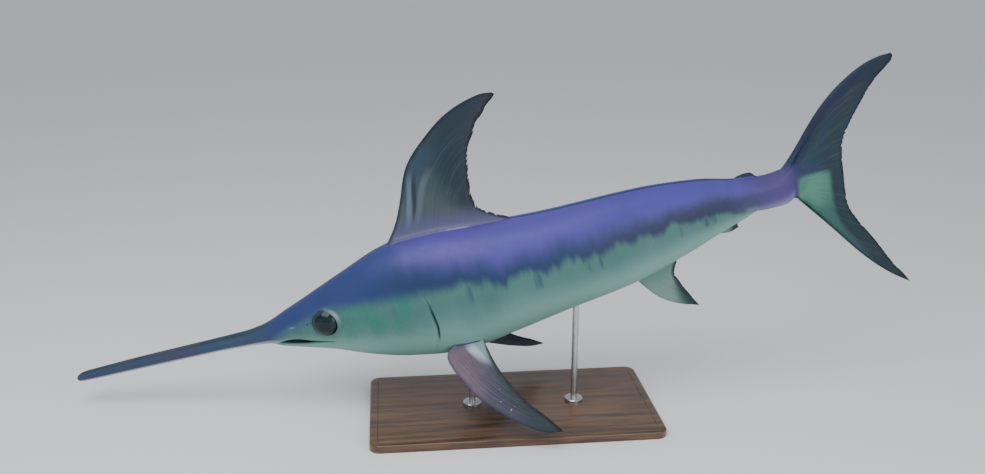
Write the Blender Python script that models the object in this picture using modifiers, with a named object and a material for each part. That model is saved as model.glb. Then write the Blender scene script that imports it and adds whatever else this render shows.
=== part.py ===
"""A life-size display model of a swordfish, nose down in a glide, held on two rods over a flat base.

The fish is drawn straight first, in its own lengthwise frame: s runs from the tip of the lower jaw
towards the tail, y to its right and z up. The body is one loft through a few guide curves, parted at
thin cuts, and each fin is a fan of rays. Every piece is then swung into the gliding pose by one
function, pose_points, so that neighbours keep their fit.
"""
import math

import bmesh
import bpy
import numpy as np
from mathutils import Vector

# Driving sizes, in metres
FORK_LENGTH = 1.650
BILL_LENGTH = 0.590
FIT_GAP = 0.0003
PART_NAME = "swordfish_on_stand"

# The pose: the nose points down, the head is turned to the fish's right and the tail a little too
NOSE_DOWN = math.radians(15.0)
HEAD_TURN = math.radians(8.5)
TAIL_TURN = math.radians(3.0)
TAIL_ROLL = math.radians(6.0)
TURN_CENTRE = 0.45 * FORK_LENGTH
HEAD_TURN_END = 0.20 * FORK_LENGTH
TAIL_TURN_END = 0.90 * FORK_LENGTH
ROLL_START = 0.42 * FORK_LENGTH
ROLL_END = 0.80 * FORK_LENGTH
CENTRE_PLACE = Vector((0.050, 0.0, 0.420))

# Guide curves of the body, each through (s, size) points
BACK_LINE = (
    (-0.590, 0.0095), (-0.578, 0.0155), (-0.560, 0.0175), (-0.530, 0.0185), (-0.412, 0.0215), (-0.082, 0.024),
    (-0.030, 0.030), (0.066, 0.063), (0.231, 0.125), (0.363, 0.172), (0.430, 0.184),
    (0.495, 0.183), (0.660, 0.166), (0.825, 0.151), (1.072, 0.141), (1.237, 0.118),
    (1.350, 0.085), (1.440, 0.067), (1.475, 0.070), (1.515, 0.090),
)
BELLY_LINE = (
    (-0.590, -0.002), (-0.578, -0.0068), (-0.530, -0.0082), (-0.412, -0.009), (-0.082, -0.010),
    (-0.012, -0.0115), (0.004, -0.0165), (0.033, -0.035), (0.099, -0.058), (0.165, -0.0775),
    (0.264, -0.117), (0.363, -0.146), (0.520, -0.169), (0.660, -0.153), (0.825, -0.134),
    (0.990, -0.121), (1.155, -0.087), (1.320, -0.038), (1.440, -0.006), (1.480, -0.011),
    (1.515, -0.029),
)
HALF_WIDTH = (
    (-0.590, 0.009), (-0.578, 0.0165), (-0.530, 0.0205), (-0.412, 0.0235), (-0.248, 0.0275),
    (-0.082, 0.031), (0.000, 0.038), (0.132, 0.066), (0.264, 0.091), (0.412, 0.111),
    (0.577, 0.118), (0.742, 0.110), (0.908, 0.096), (1.155, 0.068), (1.320, 0.048),
    (1.440, 0.034), (1.480, 0.026), (1.515, 0.012),
)
# Height of the widest level, as a share of the depth, and how square each section is (2 is an ellipse)
WIDEST_LEVEL = ((-0.590, 0.50), (0.000, 0.50), (0.180, 0.46), (0.500, 0.48), (1.250, 0.46), (1.440, 0.25),
                (1.515, 0.48))
SQUARENESS = ((-0.590, 2.3), (0.000, 2.3), (0.180, 2.15), (0.600, 2.1), (1.400, 2.1), (1.515, 2.5))
# The tail stalk's keels: how far each stands out sideways
KEEL_REACH = ((1.290, 0.0), (1.340, 0.008), (1.400, 0.029), (1.445, 0.037), (1.478, 0.030), (1.505, 0.0))
KEEL_ROOT = 0.46
KEEL_DROOP = 0.22
# The shallow groove along the back, between the two dorsal fins
GROOVE_DEPTH = ((0.720, 0.0), (0.780, 0.0022), (1.250, 0.0022), (1.310, 0.0))

# Where the body is parted, and how finely it is lofted
BILL_ROOT = -0.012
GILL_END = 0.478
TRUNK_MIDDLE = 0.820
STALK_START = 1.240
STALK_END = 1.515
SIDES = 36
RING_STEPS = ((-0.590, -0.530, 0.020), (-0.530, BILL_ROOT, 0.090), (BILL_ROOT, 0.060, 0.024),
              (0.060, GILL_END, 0.038), (GILL_END, TRUNK_MIDDLE, 0.038), (TRUNK_MIDDLE, STALK_START, 0.046),
              (STALK_START, STALK_END, 0.025))

# The head
EYE_CENTRE = Vector((0.180, 0.058, 0.020))
EYE_RADII = Vector((0.0425, 0.027, 0.0415))
ORBIT_RADIUS = 0.0345
ORBIT_ROLL = 0.0050
BROW_CENTRE = Vector((0.186, 0.069, 0.060))
BROW_RADII = Vector((0.052, 0.0125, 0.0085))
NOSTRILS = ((0.124, 0.026, 0.0040), (0.135, 0.029, 0.0028))
NOSTRIL_DEPTH = 0.005
MOUTH_LINE = ((-0.060, -0.0112), (0.000, -0.0125), (0.060, -0.0180), (0.120, -0.0250), (0.188, -0.0360))
MOUTH_OPENING = 0.0032
JAW_REAR = (0.240, -0.118)
GILL_LINE = ((0.450, 0.074), (0.462, 0.050), (0.470, 0.006), (0.468, -0.040), (0.455, -0.082),
             (0.425, -0.118), (0.380, -0.136))
GILL_SLIT_WIDTH = 0.005
GILL_SLIT_DEPTH = 0.010

# Fins. Each leading edge runs from the sunk root to the tip, each trailing edge from the tip back to the
# body, as (s, z) for the fins on the midline and as (back, reach) from the root for the pair at the side.
DORSAL_LEADING = ((0.372, 0.158), (0.396, 0.187), (0.414, 0.209), (0.433, 0.238), (0.452, 0.275),
                  (0.500, 0.372), (0.570, 0.436), (0.650, 0.484), (0.715, 0.502), (0.769, 0.494))
DORSAL_TRAILING = ((0.769, 0.494), (0.730, 0.457), (0.697, 0.425), (0.664, 0.373), (0.651, 0.313),
                   (0.642, 0.252), (0.655, 0.214), (0.690, 0.189), (0.742, 0.154))
DORSAL_ROOT_REAR = (0.742, 0.136)
SECOND_DORSAL_LEADING = ((1.312, 0.074), (1.338, 0.088), (1.366, 0.096), (1.384, 0.095))
SECOND_DORSAL_TRAILING = ((1.384, 0.095), (1.381, 0.087), (1.389, 0.081), (1.410, 0.076))
SECOND_DORSAL_ROOT_REAR = (1.374, 0.060)
FIRST_ANAL_LEADING = ((1.008, -0.100), (1.040, -0.150), (1.070, -0.190), (1.110, -0.223), (1.182, -0.258))
FIRST_ANAL_TRAILING = ((1.182, -0.258), (1.160, -0.212), (1.139, -0.165), (1.130, -0.131), (1.142, -0.104),
                       (1.168, -0.080))
FIRST_ANAL_ROOT_REAR = (1.150, -0.066)
SECOND_ANAL_LEADING = ((1.250, -0.038), (1.280, -0.059), (1.309, -0.063), (1.332, -0.056))
SECOND_ANAL_TRAILING = ((1.332, -0.056), (1.330, -0.047), (1.341, -0.041), (1.366, -0.035))
SECOND_ANAL_ROOT_REAR = (1.326, -0.012)
TAIL_UPPER_LEADING = ((1.462, 0.050), (1.488, 0.085), (1.542, 0.146), (1.602, 0.222), (1.667, 0.278),
                      (1.745, 0.310), (1.819, 0.308))
TAIL_UPPER_TRAILING = ((1.819, 0.308), (1.812, 0.290), (1.770, 0.257), (1.725, 0.202), (1.686, 0.152),
                       (1.659, 0.110), (1.650, 0.060), (1.650, 0.012))
TAIL_LOWER_LEADING = ((1.490, 0.005), (1.512, -0.026), (1.591, -0.129), (1.660, -0.232), (1.735, -0.320),
                      (1.820, -0.398))
TAIL_LOWER_TRAILING = ((1.820, -0.398), (1.776, -0.314), (1.728, -0.228), (1.686, -0.158), (1.659, -0.096),
                       (1.650, -0.040), (1.650, 0.012))
TAIL_MIDDLE_ROOT = (1.470, 0.028)
PECTORAL_ROOT = Vector((0.478, 0.076, -0.129))
# How far below level each side fin reaches, how far it sweeps back and how far its tip droops
PECTORAL_SPREAD = {"left": math.radians(50.4), "right": math.radians(48.5)}
PECTORAL_SWEEP = {"left": 0.0, "right": math.radians(6.0)}
PECTORAL_DROOP = 0.012
PECTORAL_LEADING = ((0.046, -0.030), (0.026, -0.008), (0.008, 0.002), (-0.006, 0.013), (-0.010, 0.027),
                    (-0.006, 0.044), (0.002, 0.066), (0.015, 0.090), (0.041, 0.142), (0.079, 0.189),
                    (0.135, 0.245), (0.191, 0.283), (0.228, 0.291))
PECTORAL_TRAILING = ((0.228, 0.291), (0.196, 0.240), (0.164, 0.198), (0.132, 0.132), (0.112, 0.080),
                     (0.100, 0.030), (0.094, 0.004))
PECTORAL_ROOT_REAR = (0.090, -0.030)
RIDGE_SHARE = 0.24
EDGE_HALF_THICKNESS = 0.0006
# name: rays, rows, half thickness at the sunk root, at a fifth of the way out and at the tip
FIN_MAKE = {
    "dorsal_fin_first": (18, 10, 0.0105, 0.0048, 0.0012),
    "dorsal_fin_second": (5, 4, 0.0060, 0.0034, 0.0010),
    "anal_fin_first": (8, 7, 0.0085, 0.0040, 0.0010),
    "anal_fin_second": (5, 4, 0.0060, 0.0034, 0.0010),
    "pectoral_fin_left": (10, 9, 0.0110, 0.0058, 0.0012),
    "pectoral_fin_right": (10, 9, 0.0110, 0.0058, 0.0012),
    "caudal_fin_upper": (12, 10, 0.0080, 0.0068, 0.0012),
    "caudal_fin_lower": (12, 10, 0.0080, 0.0068, 0.0012),
}

# The stand
BASE_SIZE = Vector((0.800, 0.420, 0.022))
BASE_EDGE = 0.006
BASE_CORNER = 0.030
ROD_STATIONS = {"stand_rod_front": 0.530, "stand_rod_rear": 0.840}
ROD_RADIUS = 0.009
COLLAR_RADIUS = 0.026
COLLAR_HEIGHT = 0.008
COLLAR_EASE = 0.003
ROD_SIDES = 28

# name: colour, roughness, metallic
FINISHES = {
    "bill": ((0.20, 0.17, 0.27), 0.40, 0.0),
    "head": ((0.32, 0.35, 0.52), 0.35, 0.1),
    "lower_jaw": ((0.62, 0.68, 0.66), 0.35, 0.1),
    "eye": ((0.02, 0.05, 0.08), 0.08, 0.0),
    "trunk": ((0.40, 0.40, 0.62), 0.35, 0.1),
    "fin": ((0.12, 0.13, 0.18), 0.45, 0.0),
    "side_fin": ((0.42, 0.33, 0.40), 0.45, 0.0),
    "base": ((0.10, 0.065, 0.045), 0.45, 0.0),
    "rod": ((0.62, 0.62, 0.60), 0.30, 1.0),
}


def smooth(guide, at):
    """Reads a curve through (position, value) points that never swings past them."""
    xs, values = np.array(guide, float).T
    steps = np.diff(xs)
    slopes = np.diff(values) / steps
    turning = slopes[:-1] * slopes[1:] <= 0.0
    weights_a = 2.0 * steps[1:] + steps[:-1]
    weights_b = steps[1:] + 2.0 * steps[:-1]
    safe_before = np.where(turning, 1.0, slopes[:-1])
    safe_after = np.where(turning, 1.0, slopes[1:])
    blended = (weights_a + weights_b) / (weights_a / safe_before + weights_b / safe_after)
    tangents = np.concatenate([slopes[:1], np.where(turning, 0.0, blended), slopes[-1:]])
    at = np.clip(at, xs[0], xs[-1])
    cell = np.clip(np.searchsorted(xs, at, side="right") - 1, 0, len(steps) - 1)
    t = (at - xs[cell]) / steps[cell]
    return (values[cell] * (1 + 2 * t) * (1 - t) ** 2 + values[cell + 1] * t * t * (3 - 2 * t)
            + steps[cell] * t * (1 - t) * (tangents[cell] * (1 - t) - tangents[cell + 1] * t))


def outline(points, shares):
    """Reads a flat outline, as complex numbers, at the given shares of its length."""
    xs, ys = np.array(points, float).T
    run = np.concatenate([[0.0], np.cumsum(np.hypot(np.diff(xs), np.diff(ys)))])
    at = np.asarray(shares) * run[-1]
    tangent_x = np.gradient(xs, run)
    tangent_y = np.gradient(ys, run)
    cell = np.clip(np.searchsorted(run, at, side="right") - 1, 0, len(run) - 2)
    step = run[cell + 1] - run[cell]
    t = (at - run[cell]) / step
    start, end = (1 + 2 * t) * (1 - t) ** 2, t * t * (3 - 2 * t)
    lean_in, lean_out = step * t * (1 - t) ** 2, -step * t * t * (1 - t)
    x = start * xs[cell] + end * xs[cell + 1] + lean_in * tangent_x[cell] + lean_out * tangent_x[cell + 1]
    y = start * ys[cell] + end * ys[cell + 1] + lean_in * tangent_y[cell] + lean_out * tangent_y[cell + 1]
    return x + 1j * y


def heading(s):
    """The compass turn of the spine at s: nought at the turn's centre."""
    head_share = np.clip((TURN_CENTRE - s) / (TURN_CENTRE - HEAD_TURN_END), 0.0, 1.0)
    tail_share = np.clip((s - TURN_CENTRE) / (TAIL_TURN_END - TURN_CENTRE), 0.0, 1.0)
    return TAIL_TURN * tail_share - HEAD_TURN * head_share


def make_spine():
    """Walks along the spine in small steps and notes its plan position."""
    step = 0.002
    s = np.arange(-BILL_LENGTH - 0.1, 1.3 * FORK_LENGTH, step)
    turns = heading(s)
    x = np.concatenate([[0.0], np.cumsum(step * np.cos((turns[1:] + turns[:-1]) / 2))])
    y = np.concatenate([[0.0], np.cumsum(step * np.sin((turns[1:] + turns[:-1]) / 2))])
    return s, x - np.interp(TURN_CENTRE, s, x), y - np.interp(TURN_CENTRE, s, y)


SPINE = make_spine()


def pose_points(points):
    """Swings points of the straight fish into the gliding pose: roll, bend, nose down, then lift."""
    s, y, z = np.asarray(points, float).T
    share = np.clip((s - ROLL_START) / (ROLL_END - ROLL_START), 0.0, 1.0)
    roll = TAIL_ROLL * share * share * (3.0 - 2.0 * share)
    y, z = y * np.cos(roll) - z * np.sin(roll), y * np.sin(roll) + z * np.cos(roll)
    turn = heading(s)
    plan_x = np.interp(s, SPINE[0], SPINE[1]) - y * np.sin(turn)
    plan_y = np.interp(s, SPINE[0], SPINE[2]) + y * np.cos(turn)
    x = plan_x * math.cos(NOSE_DOWN) - z * math.sin(NOSE_DOWN)
    lift = plan_x * math.sin(NOSE_DOWN) + z * math.cos(NOSE_DOWN)
    return np.stack([x, plan_y, lift], axis=1) + np.array(CENTRE_PLACE)


def make_collection(name):
    collection = bpy.data.collections.new(name)
    bpy.context.scene.collection.children.link(collection)
    return collection


def add_object(name, mesh, collection):
    obj = bpy.data.objects.new(name, mesh)
    collection.objects.link(obj)
    return obj


def mesh_of(build, name):
    """Runs a bmesh builder and stores what it made, faces pointing out."""
    bm = bmesh.new()
    build(bm)
    bm.normal_update()
    bmesh.ops.recalc_face_normals(bm, faces=bm.faces)
    mesh = bpy.data.meshes.new(name)
    bm.to_mesh(mesh)
    bm.free()
    return mesh


def mesh_from(name, points, faces):
    """A closed mesh from points and the faces between them."""
    def build(bm):
        verts = [bm.verts.new(point) for point in points]
        for face in faces:
            bm.faces.new([verts[k] for k in face])
    return mesh_of(build, name)


def ring_positions(start, end):
    """The loft's rings between two cuts, shared by every piece and cutter that has them."""
    positions = [start]
    for low, high, step in RING_STEPS:
        count = max(1, round((high - low) / step))
        positions += [low + (high - low) * k / count for k in range(count + 1)]
    inner = sorted(p for p in set(round(p, 6) for p in positions) if start + 0.002 < p < end - 0.002)
    return [start] + inner + [end]


def body_ring(s, swell=0.0):
    """One cross-section of the body as SIDES points, starting at the right-hand side."""
    top = smooth(BACK_LINE, s) + swell
    bottom = smooth(BELLY_LINE, s) - swell
    half = smooth(HALF_WIDTH, s) + swell
    level = bottom + (top - bottom) * smooth(WIDEST_LEVEL, s)
    power = 2.0 / smooth(SQUARENESS, s)
    keel = smooth(KEEL_REACH, s)
    groove = smooth(GROOVE_DEPTH, s)
    points = []
    for k in range(SIDES):
        angle = 2.0 * math.pi * k / SIDES
        across, along = math.cos(angle), math.sin(angle)
        flange = keel * max(0.0, 1.0 - abs(along) / KEEL_ROOT) ** 1.3
        y = math.copysign(half * abs(across) ** power + flange, across)
        rise = top - level if along > 0 else level - bottom
        z = level + math.copysign(rise * abs(along) ** power, along) - KEEL_DROOP * flange
        if k == SIDES // 4:
            z -= groove
        points.append((s, y, z))
    return points


def loft_faces(ring_count, sides):
    """Triangles between neighbouring rings, split alike on the left and the right, with both ends closed."""
    faces = []
    for i in range(ring_count - 1):
        for k in range(sides):
            a, b = i * sides + k, i * sides + (k + 1) % sides
            c, d = b + sides, a + sides
            if k < sides // 4 or k >= 3 * sides // 4:
                faces += [(a, b, c), (a, c, d)]
            else:
                faces += [(a, b, d), (b, c, d)]
    last = (ring_count - 1) * sides
    faces.append(tuple(reversed(range(sides))))
    faces.append(tuple(range(last, last + sides)))
    return faces


def body_length(name, start, end, collection, swell=0.0):
    """A closed length of the body between two flat cuts."""
    rings = [body_ring(s, swell) for s in ring_positions(start, end)]
    points = [point for ring in rings for point in ring]
    return add_object(name, mesh_from(name, points, loft_faces(len(rings), SIDES)), collection)


def surface_half_width(s, z):
    """How far the skin stands from the midline at a place on the side."""
    ring = np.array(body_ring(s))
    quarter = np.concatenate([ring[3 * SIDES // 4:], ring[:SIDES // 4 + 1]])
    return float(np.interp(z, quarter[:, 2], quarter[:, 1]))


def keep_largest(bm):
    """Drops all but the largest closed surface."""
    unseen = set(bm.faces)
    shells = []
    while unseen:
        start = unseen.pop()
        shell, front = [start], [start]
        while front:
            face = front.pop()
            for edge in face.edges:
                for other in edge.link_faces:
                    if other in unseen:
                        unseen.remove(other)
                        shell.append(other)
                        front.append(other)
        shells.append(shell)
    largest = max(shells, key=lambda shell: sum(face.calc_area() for face in shell))
    loose = [face for shell in shells if shell is not largest for face in shell]
    bmesh.ops.delete(bm, geom=loose, context="FACES")


def combine(obj, cutters, operation, solver="EXACT"):
    """Joins, cuts or trims a piece with closed tools, one after another, and removes the tools."""
    for tool in cutters:
        modifier = obj.modifiers.new(operation.lower(), "BOOLEAN")
        modifier.operation = operation
        modifier.object = tool
        modifier.solver = solver
        bpy.context.view_layer.update()
        evaluated = obj.evaluated_get(bpy.context.evaluated_depsgraph_get())
        obj.data = bpy.data.meshes.new_from_object(evaluated)
        obj.modifiers.clear()
        bpy.data.objects.remove(tool)


def settle(obj, posed=True):
    """Triangulates a finished piece, keeps its one closed surface and puts it in the gliding pose."""
    bm = bmesh.new()
    bm.from_mesh(obj.data)
    bmesh.ops.remove_doubles(bm, verts=bm.verts, dist=0.000002)
    bmesh.ops.triangulate(bm, faces=bm.faces)
    keep_largest(bm)
    if posed:
        placed = pose_points([vert.co for vert in bm.verts])
        for vert, place in zip(bm.verts, placed):
            vert.co = place
    bm.to_mesh(obj.data)
    bm.free()


def finish(obj, look):
    colour, roughness, metallic = FINISHES[look]
    material = bpy.data.materials.new(obj.name)
    material.use_nodes = True
    shader = material.node_tree.nodes["Principled BSDF"]
    shader.inputs["Base Color"].default_value = (*colour, 1.0)
    shader.inputs["Roughness"].default_value = roughness
    shader.inputs["Metallic"].default_value = metallic
    obj.data.materials.clear()
    obj.data.materials.append(material)
    obj.data.shade_smooth()
    obj.data.set_sharp_from_angle(angle=math.radians(35.0))


def ellipsoid(name, centre, radii, collection, around=20, rows=12, swell=0.0):
    """A ball with its poles sideways, stretched to three radii."""
    def build(bm):
        bmesh.ops.create_uvsphere(bm, u_segments=around, v_segments=rows, radius=1.0)
        for vert in bm.verts:
            x, y, z = vert.co
            vert.co = centre + Vector(((radii.x + swell) * x, (radii.y + swell) * z, (radii.z + swell) * y))
    return add_object(name, mesh_of(build, name), collection)


def cheek_ring(name, centre, radius, roll, around=24, sides=6):
    """A ring lying in the plane of the cheek."""
    bpy.ops.mesh.primitive_torus_add(location=centre, rotation=(math.pi / 2, 0.0, 0.0), major_radius=radius,
                                     minor_radius=roll, major_segments=around, minor_segments=sides)
    ring = bpy.context.object
    ring.name = name
    return ring


def side_prism(name, profile, half_depth, collection):
    """A side-view profile of (s, z) points, drawn out across the whole body."""
    def build(bm):
        verts = [bm.verts.new((s, -half_depth, z)) for s, z in profile]
        face = bm.faces.new(verts)
        drawn = bmesh.ops.extrude_face_region(bm, geom=[face])
        moved = [item for item in drawn["geom"] if isinstance(item, bmesh.types.BMVert)]
        bmesh.ops.translate(bm, verts=moved, vec=(0.0, 2.0 * half_depth, 0.0))
    return add_object(name, mesh_of(build, name), collection)


def jaw_prism(name, gape, set_back, collection):
    """The room below the mouth line and ahead of the jaw's rear line; gape opens it downwards."""
    corner_s, corner_z = MOUTH_LINE[-1]
    line = []
    for k in range(13):
        s = MOUTH_LINE[0][0] + (corner_s - MOUTH_LINE[0][0]) * k / 12
        share = max(0.0, s / corner_s)
        opened = gape * math.sin(math.pi * min(1.0, share)) ** 0.7
        line.append((s, float(smooth(MOUTH_LINE, s)) - opened - set_back))
    rear_s, rear_z = JAW_REAR
    slope = (rear_s - corner_s) / (rear_z - corner_z)
    floor = -0.200
    line[-1] = (corner_s - set_back, corner_z - set_back)
    line.append((corner_s + slope * (floor - corner_z) - set_back, floor))
    line.append((MOUTH_LINE[0][0], floor))
    return side_prism(name, line, 0.150, collection)


def gill_cutter(name, side, collection):
    """A narrow bent strip that cuts the slit behind the gill cover."""
    points, faces = [], []
    path = outline(GILL_LINE, np.linspace(0.0, 1.0, 13))
    count = len(path)
    for k, place in enumerate(path):
        along = path[min(k + 1, count - 1)] - path[max(k - 1, 0)]
        across = along / abs(along) * 1j * GILL_SLIT_WIDTH / 2.0
        taper = 0.25 + 0.75 * math.sin(math.pi * k / (count - 1)) ** 0.5
        skin = surface_half_width(place.real, place.imag)
        for depth in (-GILL_SLIT_DEPTH * taper, 0.030):
            for edge in (-1.0, 1.0):
                spot = place + edge * across * taper
                points.append((spot.real, side * (skin + depth), spot.imag))
    for k in range(count - 1):
        a = 4 * k
        for low, high in ((0, 1), (1, 3), (3, 2), (2, 0)):
            faces += [(a + low, a + high, a + 4 + high), (a + low, a + 4 + high, a + 4 + low)]
    faces += [(0, 2, 3, 1), (4 * count - 4, 4 * count - 3, 4 * count - 1, 4 * count - 2)]
    return add_object(name, mesh_from(name, points, faces), collection)


def mirrored(point, side):
    """Features are placed on the fish's right, +y; side -1 puts them on its left."""
    return Vector((point.x, side * point.y, point.z))


def make_head(parts, tools):
    """Bill, head, lower jaw and eyes."""
    bill = body_length("bill", -BILL_LENGTH, BILL_ROOT - FIT_GAP / 2, parts)
    head = body_length("head", BILL_ROOT + FIT_GAP / 2, GILL_END - FIT_GAP / 2, parts)
    jaw = body_length("lower_jaw", BILL_ROOT + FIT_GAP / 2, GILL_END - FIT_GAP / 2, parts)
    added, removed = [], [jaw_prism("jaw_room", 0.0, 0.0, tools)]
    eyes = []
    for side, word in ((-1, "left"), (1, "right")):
        skin = surface_half_width(EYE_CENTRE.x, EYE_CENTRE.z)
        rim_centre = Vector((EYE_CENTRE.x, side * (skin - 0.001), EYE_CENTRE.z))
        added.append(cheek_ring(f"orbit_{word}", rim_centre, ORBIT_RADIUS, ORBIT_ROLL))
        added.append(ellipsoid(f"brow_{word}", mirrored(BROW_CENTRE, side), BROW_RADII, tools, 16, 8))
        removed.append(ellipsoid(f"socket_{word}", mirrored(EYE_CENTRE, side), EYE_RADII, tools,
                                 swell=FIT_GAP))
        for number, (s, z, radius) in enumerate(NOSTRILS):
            place = Vector((s, side * surface_half_width(s, z), z))
            removed.append(ellipsoid(f"nostril_{word}_{number}", place,
                                     Vector((radius, NOSTRIL_DEPTH, radius)), tools, 8, 6))
        removed.append(gill_cutter(f"gill_{word}", side, tools))
        eyes.append(ellipsoid(f"eye_{word}", mirrored(EYE_CENTRE, side), EYE_RADII, parts))
    combine(head, added, "UNION")
    combine(head, removed, "DIFFERENCE")
    combine(jaw, [jaw_prism("jaw_shape", MOUTH_OPENING, FIT_GAP, tools)], "INTERSECT")
    for obj in (bill, head, jaw):
        settle(obj)
        finish(obj, obj.name)
    for eye in eyes:
        settle(eye)
        finish(eye, "eye")


def make_trunk(parts):
    """The trunk in two lengths and the tail stalk with its keels."""
    cuts = {"body_front": (GILL_END, TRUNK_MIDDLE), "body_rear": (TRUNK_MIDDLE, STALK_START),
            "caudal_peduncle": (STALK_START, STALK_END)}
    for name, (start, end) in cuts.items():
        rear_gap = 0.0 if end == STALK_END else FIT_GAP / 2
        obj = body_length(name, start + FIT_GAP / 2, end - rear_gap, parts)
        settle(obj)
        finish(obj, "trunk")


def ray_fin(name, leading, trailing, root_rear, frame, parts):
    """A fan of rays from a sunk root: ridges and hollows on one closed, two-sided blade."""
    rays, rows, root_half, low_half, tip_half = FIN_MAKE[name]
    columns = 2 * rays + 1
    shares = np.linspace(0.0, 1.0, columns)
    heights = np.linspace(0.0, 1.0, rows + 1)
    edge = outline(leading, heights)
    ends = outline(trailing, shares)
    root_front = complex(*leading[0])
    roots = root_front + (complex(*root_rear) - root_front) * shares
    bowed = (edge - edge[0]) / (edge[-1] - edge[0])
    points = {1: [], -1: []}
    for u, share in enumerate(shares):
        shape = (1.0 - share) * bowed + share * heights
        for v, height in enumerate(heights):
            place = roots[u] + (ends[u] - roots[u]) * shape[v]
            half = float(smooth(((0.0, root_half), (0.2, low_half), (1.0, tip_half)), height))
            half *= float(smooth(((0.0, 0.45), (0.06, 1.0), (0.55, 0.8), (1.0, 0.45)), share))
            half *= 1.0 + RIDGE_SHARE * (1.0 if u % 2 else -1.0)
            if v == rows or u in (0, columns - 1):
                half = max(EDGE_HALF_THICKNESS, 0.5 * half)
            half = max(half, EDGE_HALF_THICKNESS)
            for side in (1, -1):
                points[side].append(frame(place.real, place.imag, side * half, height))
    near, far = points[1], points[-1]
    shift = len(near)
    faces = []
    for u in range(columns - 1):
        for v in range(rows):
            a, b = u * (rows + 1) + v, (u + 1) * (rows + 1) + v
            for first, second, third in ((a, b, b + 1), (a, b + 1, a + 1)):
                faces.append((first, second, third))
                faces.append((third + shift, second + shift, first + shift))
    rim = [u * (rows + 1) for u in range(columns)]
    rim += [(columns - 1) * (rows + 1) + v for v in range(1, rows + 1)]
    rim += [u * (rows + 1) + rows for u in range(columns - 2, -1, -1)]
    rim += [v for v in range(rows - 1, 0, -1)]
    for k, first in enumerate(rim):
        second = rim[(k + 1) % len(rim)]
        faces += [(first, first + shift, second + shift), (first, second + shift, second)]
    return add_object(name, mesh_from(name, near + far, faces), parts)


def midline_frame(s, z, aside, height):
    return (s, aside, z)


def pectoral_frame(side, word):
    """The side fin's flat plane: back along the fish, and out and down along the reach."""
    root = mirrored(PECTORAL_ROOT, side)
    spread, sweep = PECTORAL_SPREAD[word], PECTORAL_SWEEP[word]
    level_reach = Vector((0.0, side * math.cos(spread), -math.sin(spread)))
    reach = level_reach * math.cos(sweep) + Vector((math.sin(sweep), 0.0, 0.0))
    rearward = Vector((math.cos(sweep), 0.0, 0.0)) - level_reach * math.sin(sweep)
    face = rearward.cross(reach)

    def place(back, out, aside, height):
        droop = -PECTORAL_DROOP * height * height * side
        return tuple(root + rearward * back + reach * out + face * (aside + droop))
    return place


def make_fins(parts, tools):
    """All nine fin nodes, each trimmed to the skin it grows from."""
    shift = FIT_GAP / 2
    upper_middle = (TAIL_MIDDLE_ROOT[0], TAIL_MIDDLE_ROOT[1] + shift)
    lower_middle = (TAIL_MIDDLE_ROOT[0], TAIL_MIDDLE_ROOT[1] - shift)
    fork_s, fork_z = TAIL_UPPER_TRAILING[-1]
    upper_trailing = TAIL_UPPER_TRAILING[:-1] + ((fork_s, fork_z + shift),)
    lower_trailing = TAIL_LOWER_TRAILING[:-1] + ((fork_s, fork_z - shift),)
    plans = {
        "dorsal_fin_first": (DORSAL_LEADING, DORSAL_TRAILING, DORSAL_ROOT_REAR, midline_frame),
        "dorsal_fin_second": (SECOND_DORSAL_LEADING, SECOND_DORSAL_TRAILING, SECOND_DORSAL_ROOT_REAR,
                              midline_frame),
        "anal_fin_first": (FIRST_ANAL_LEADING, FIRST_ANAL_TRAILING, FIRST_ANAL_ROOT_REAR, midline_frame),
        "anal_fin_second": (SECOND_ANAL_LEADING, SECOND_ANAL_TRAILING, SECOND_ANAL_ROOT_REAR, midline_frame),
        "caudal_fin_upper": (TAIL_UPPER_LEADING, upper_trailing, upper_middle, midline_frame),
        "caudal_fin_lower": (TAIL_LOWER_LEADING, lower_trailing, lower_middle, midline_frame),
        "pectoral_fin_left": (PECTORAL_LEADING, PECTORAL_TRAILING, PECTORAL_ROOT_REAR,
                              pectoral_frame(-1, "left")),
        "pectoral_fin_right": (PECTORAL_LEADING, PECTORAL_TRAILING, PECTORAL_ROOT_REAR,
                               pectoral_frame(1, "right")),
    }
    for name, (leading, trailing, root_rear, frame) in plans.items():
        fin = ray_fin(name, leading, trailing, root_rear, frame, parts)
        skin = body_length("skin", BILL_ROOT, STALK_END + FIT_GAP, tools, FIT_GAP)
        at_side = name.startswith("pectoral")
        combine(fin, [skin], "DIFFERENCE", "MANIFOLD" if at_side else "EXACT")
        settle(fin)
        finish(fin, "side_fin" if at_side else "fin")


def turned(name, profile, centre, parts):
    """A round piece from a profile of (radius, height) points, listed from the top down."""
    def build(bm):
        verts = [bm.verts.new((radius, 0.0, height)) for radius, height in profile]
        for first, second in zip(verts[:-1], verts[1:]):
            bm.edges.new((first, second))
    obj = add_object(name, mesh_of(build, name), parts)
    screw = obj.modifiers.new("turn", "SCREW")
    screw.steps = ROD_SIDES
    screw.render_steps = ROD_SIDES
    screw.use_merge_vertices = True
    screw.merge_threshold = 0.00001
    bpy.context.view_layer.update()
    evaluated = obj.evaluated_get(bpy.context.evaluated_depsgraph_get())
    obj.data = bpy.data.meshes.new_from_object(evaluated)
    obj.modifiers.clear()
    bm = bmesh.new()
    bm.from_mesh(obj.data)
    bmesh.ops.remove_doubles(bm, verts=bm.verts, dist=0.00001)
    bmesh.ops.recalc_face_normals(bm, faces=bm.faces)
    bmesh.ops.translate(bm, verts=bm.verts, vec=centre)
    bm.to_mesh(obj.data)
    bm.free()
    return obj


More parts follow.
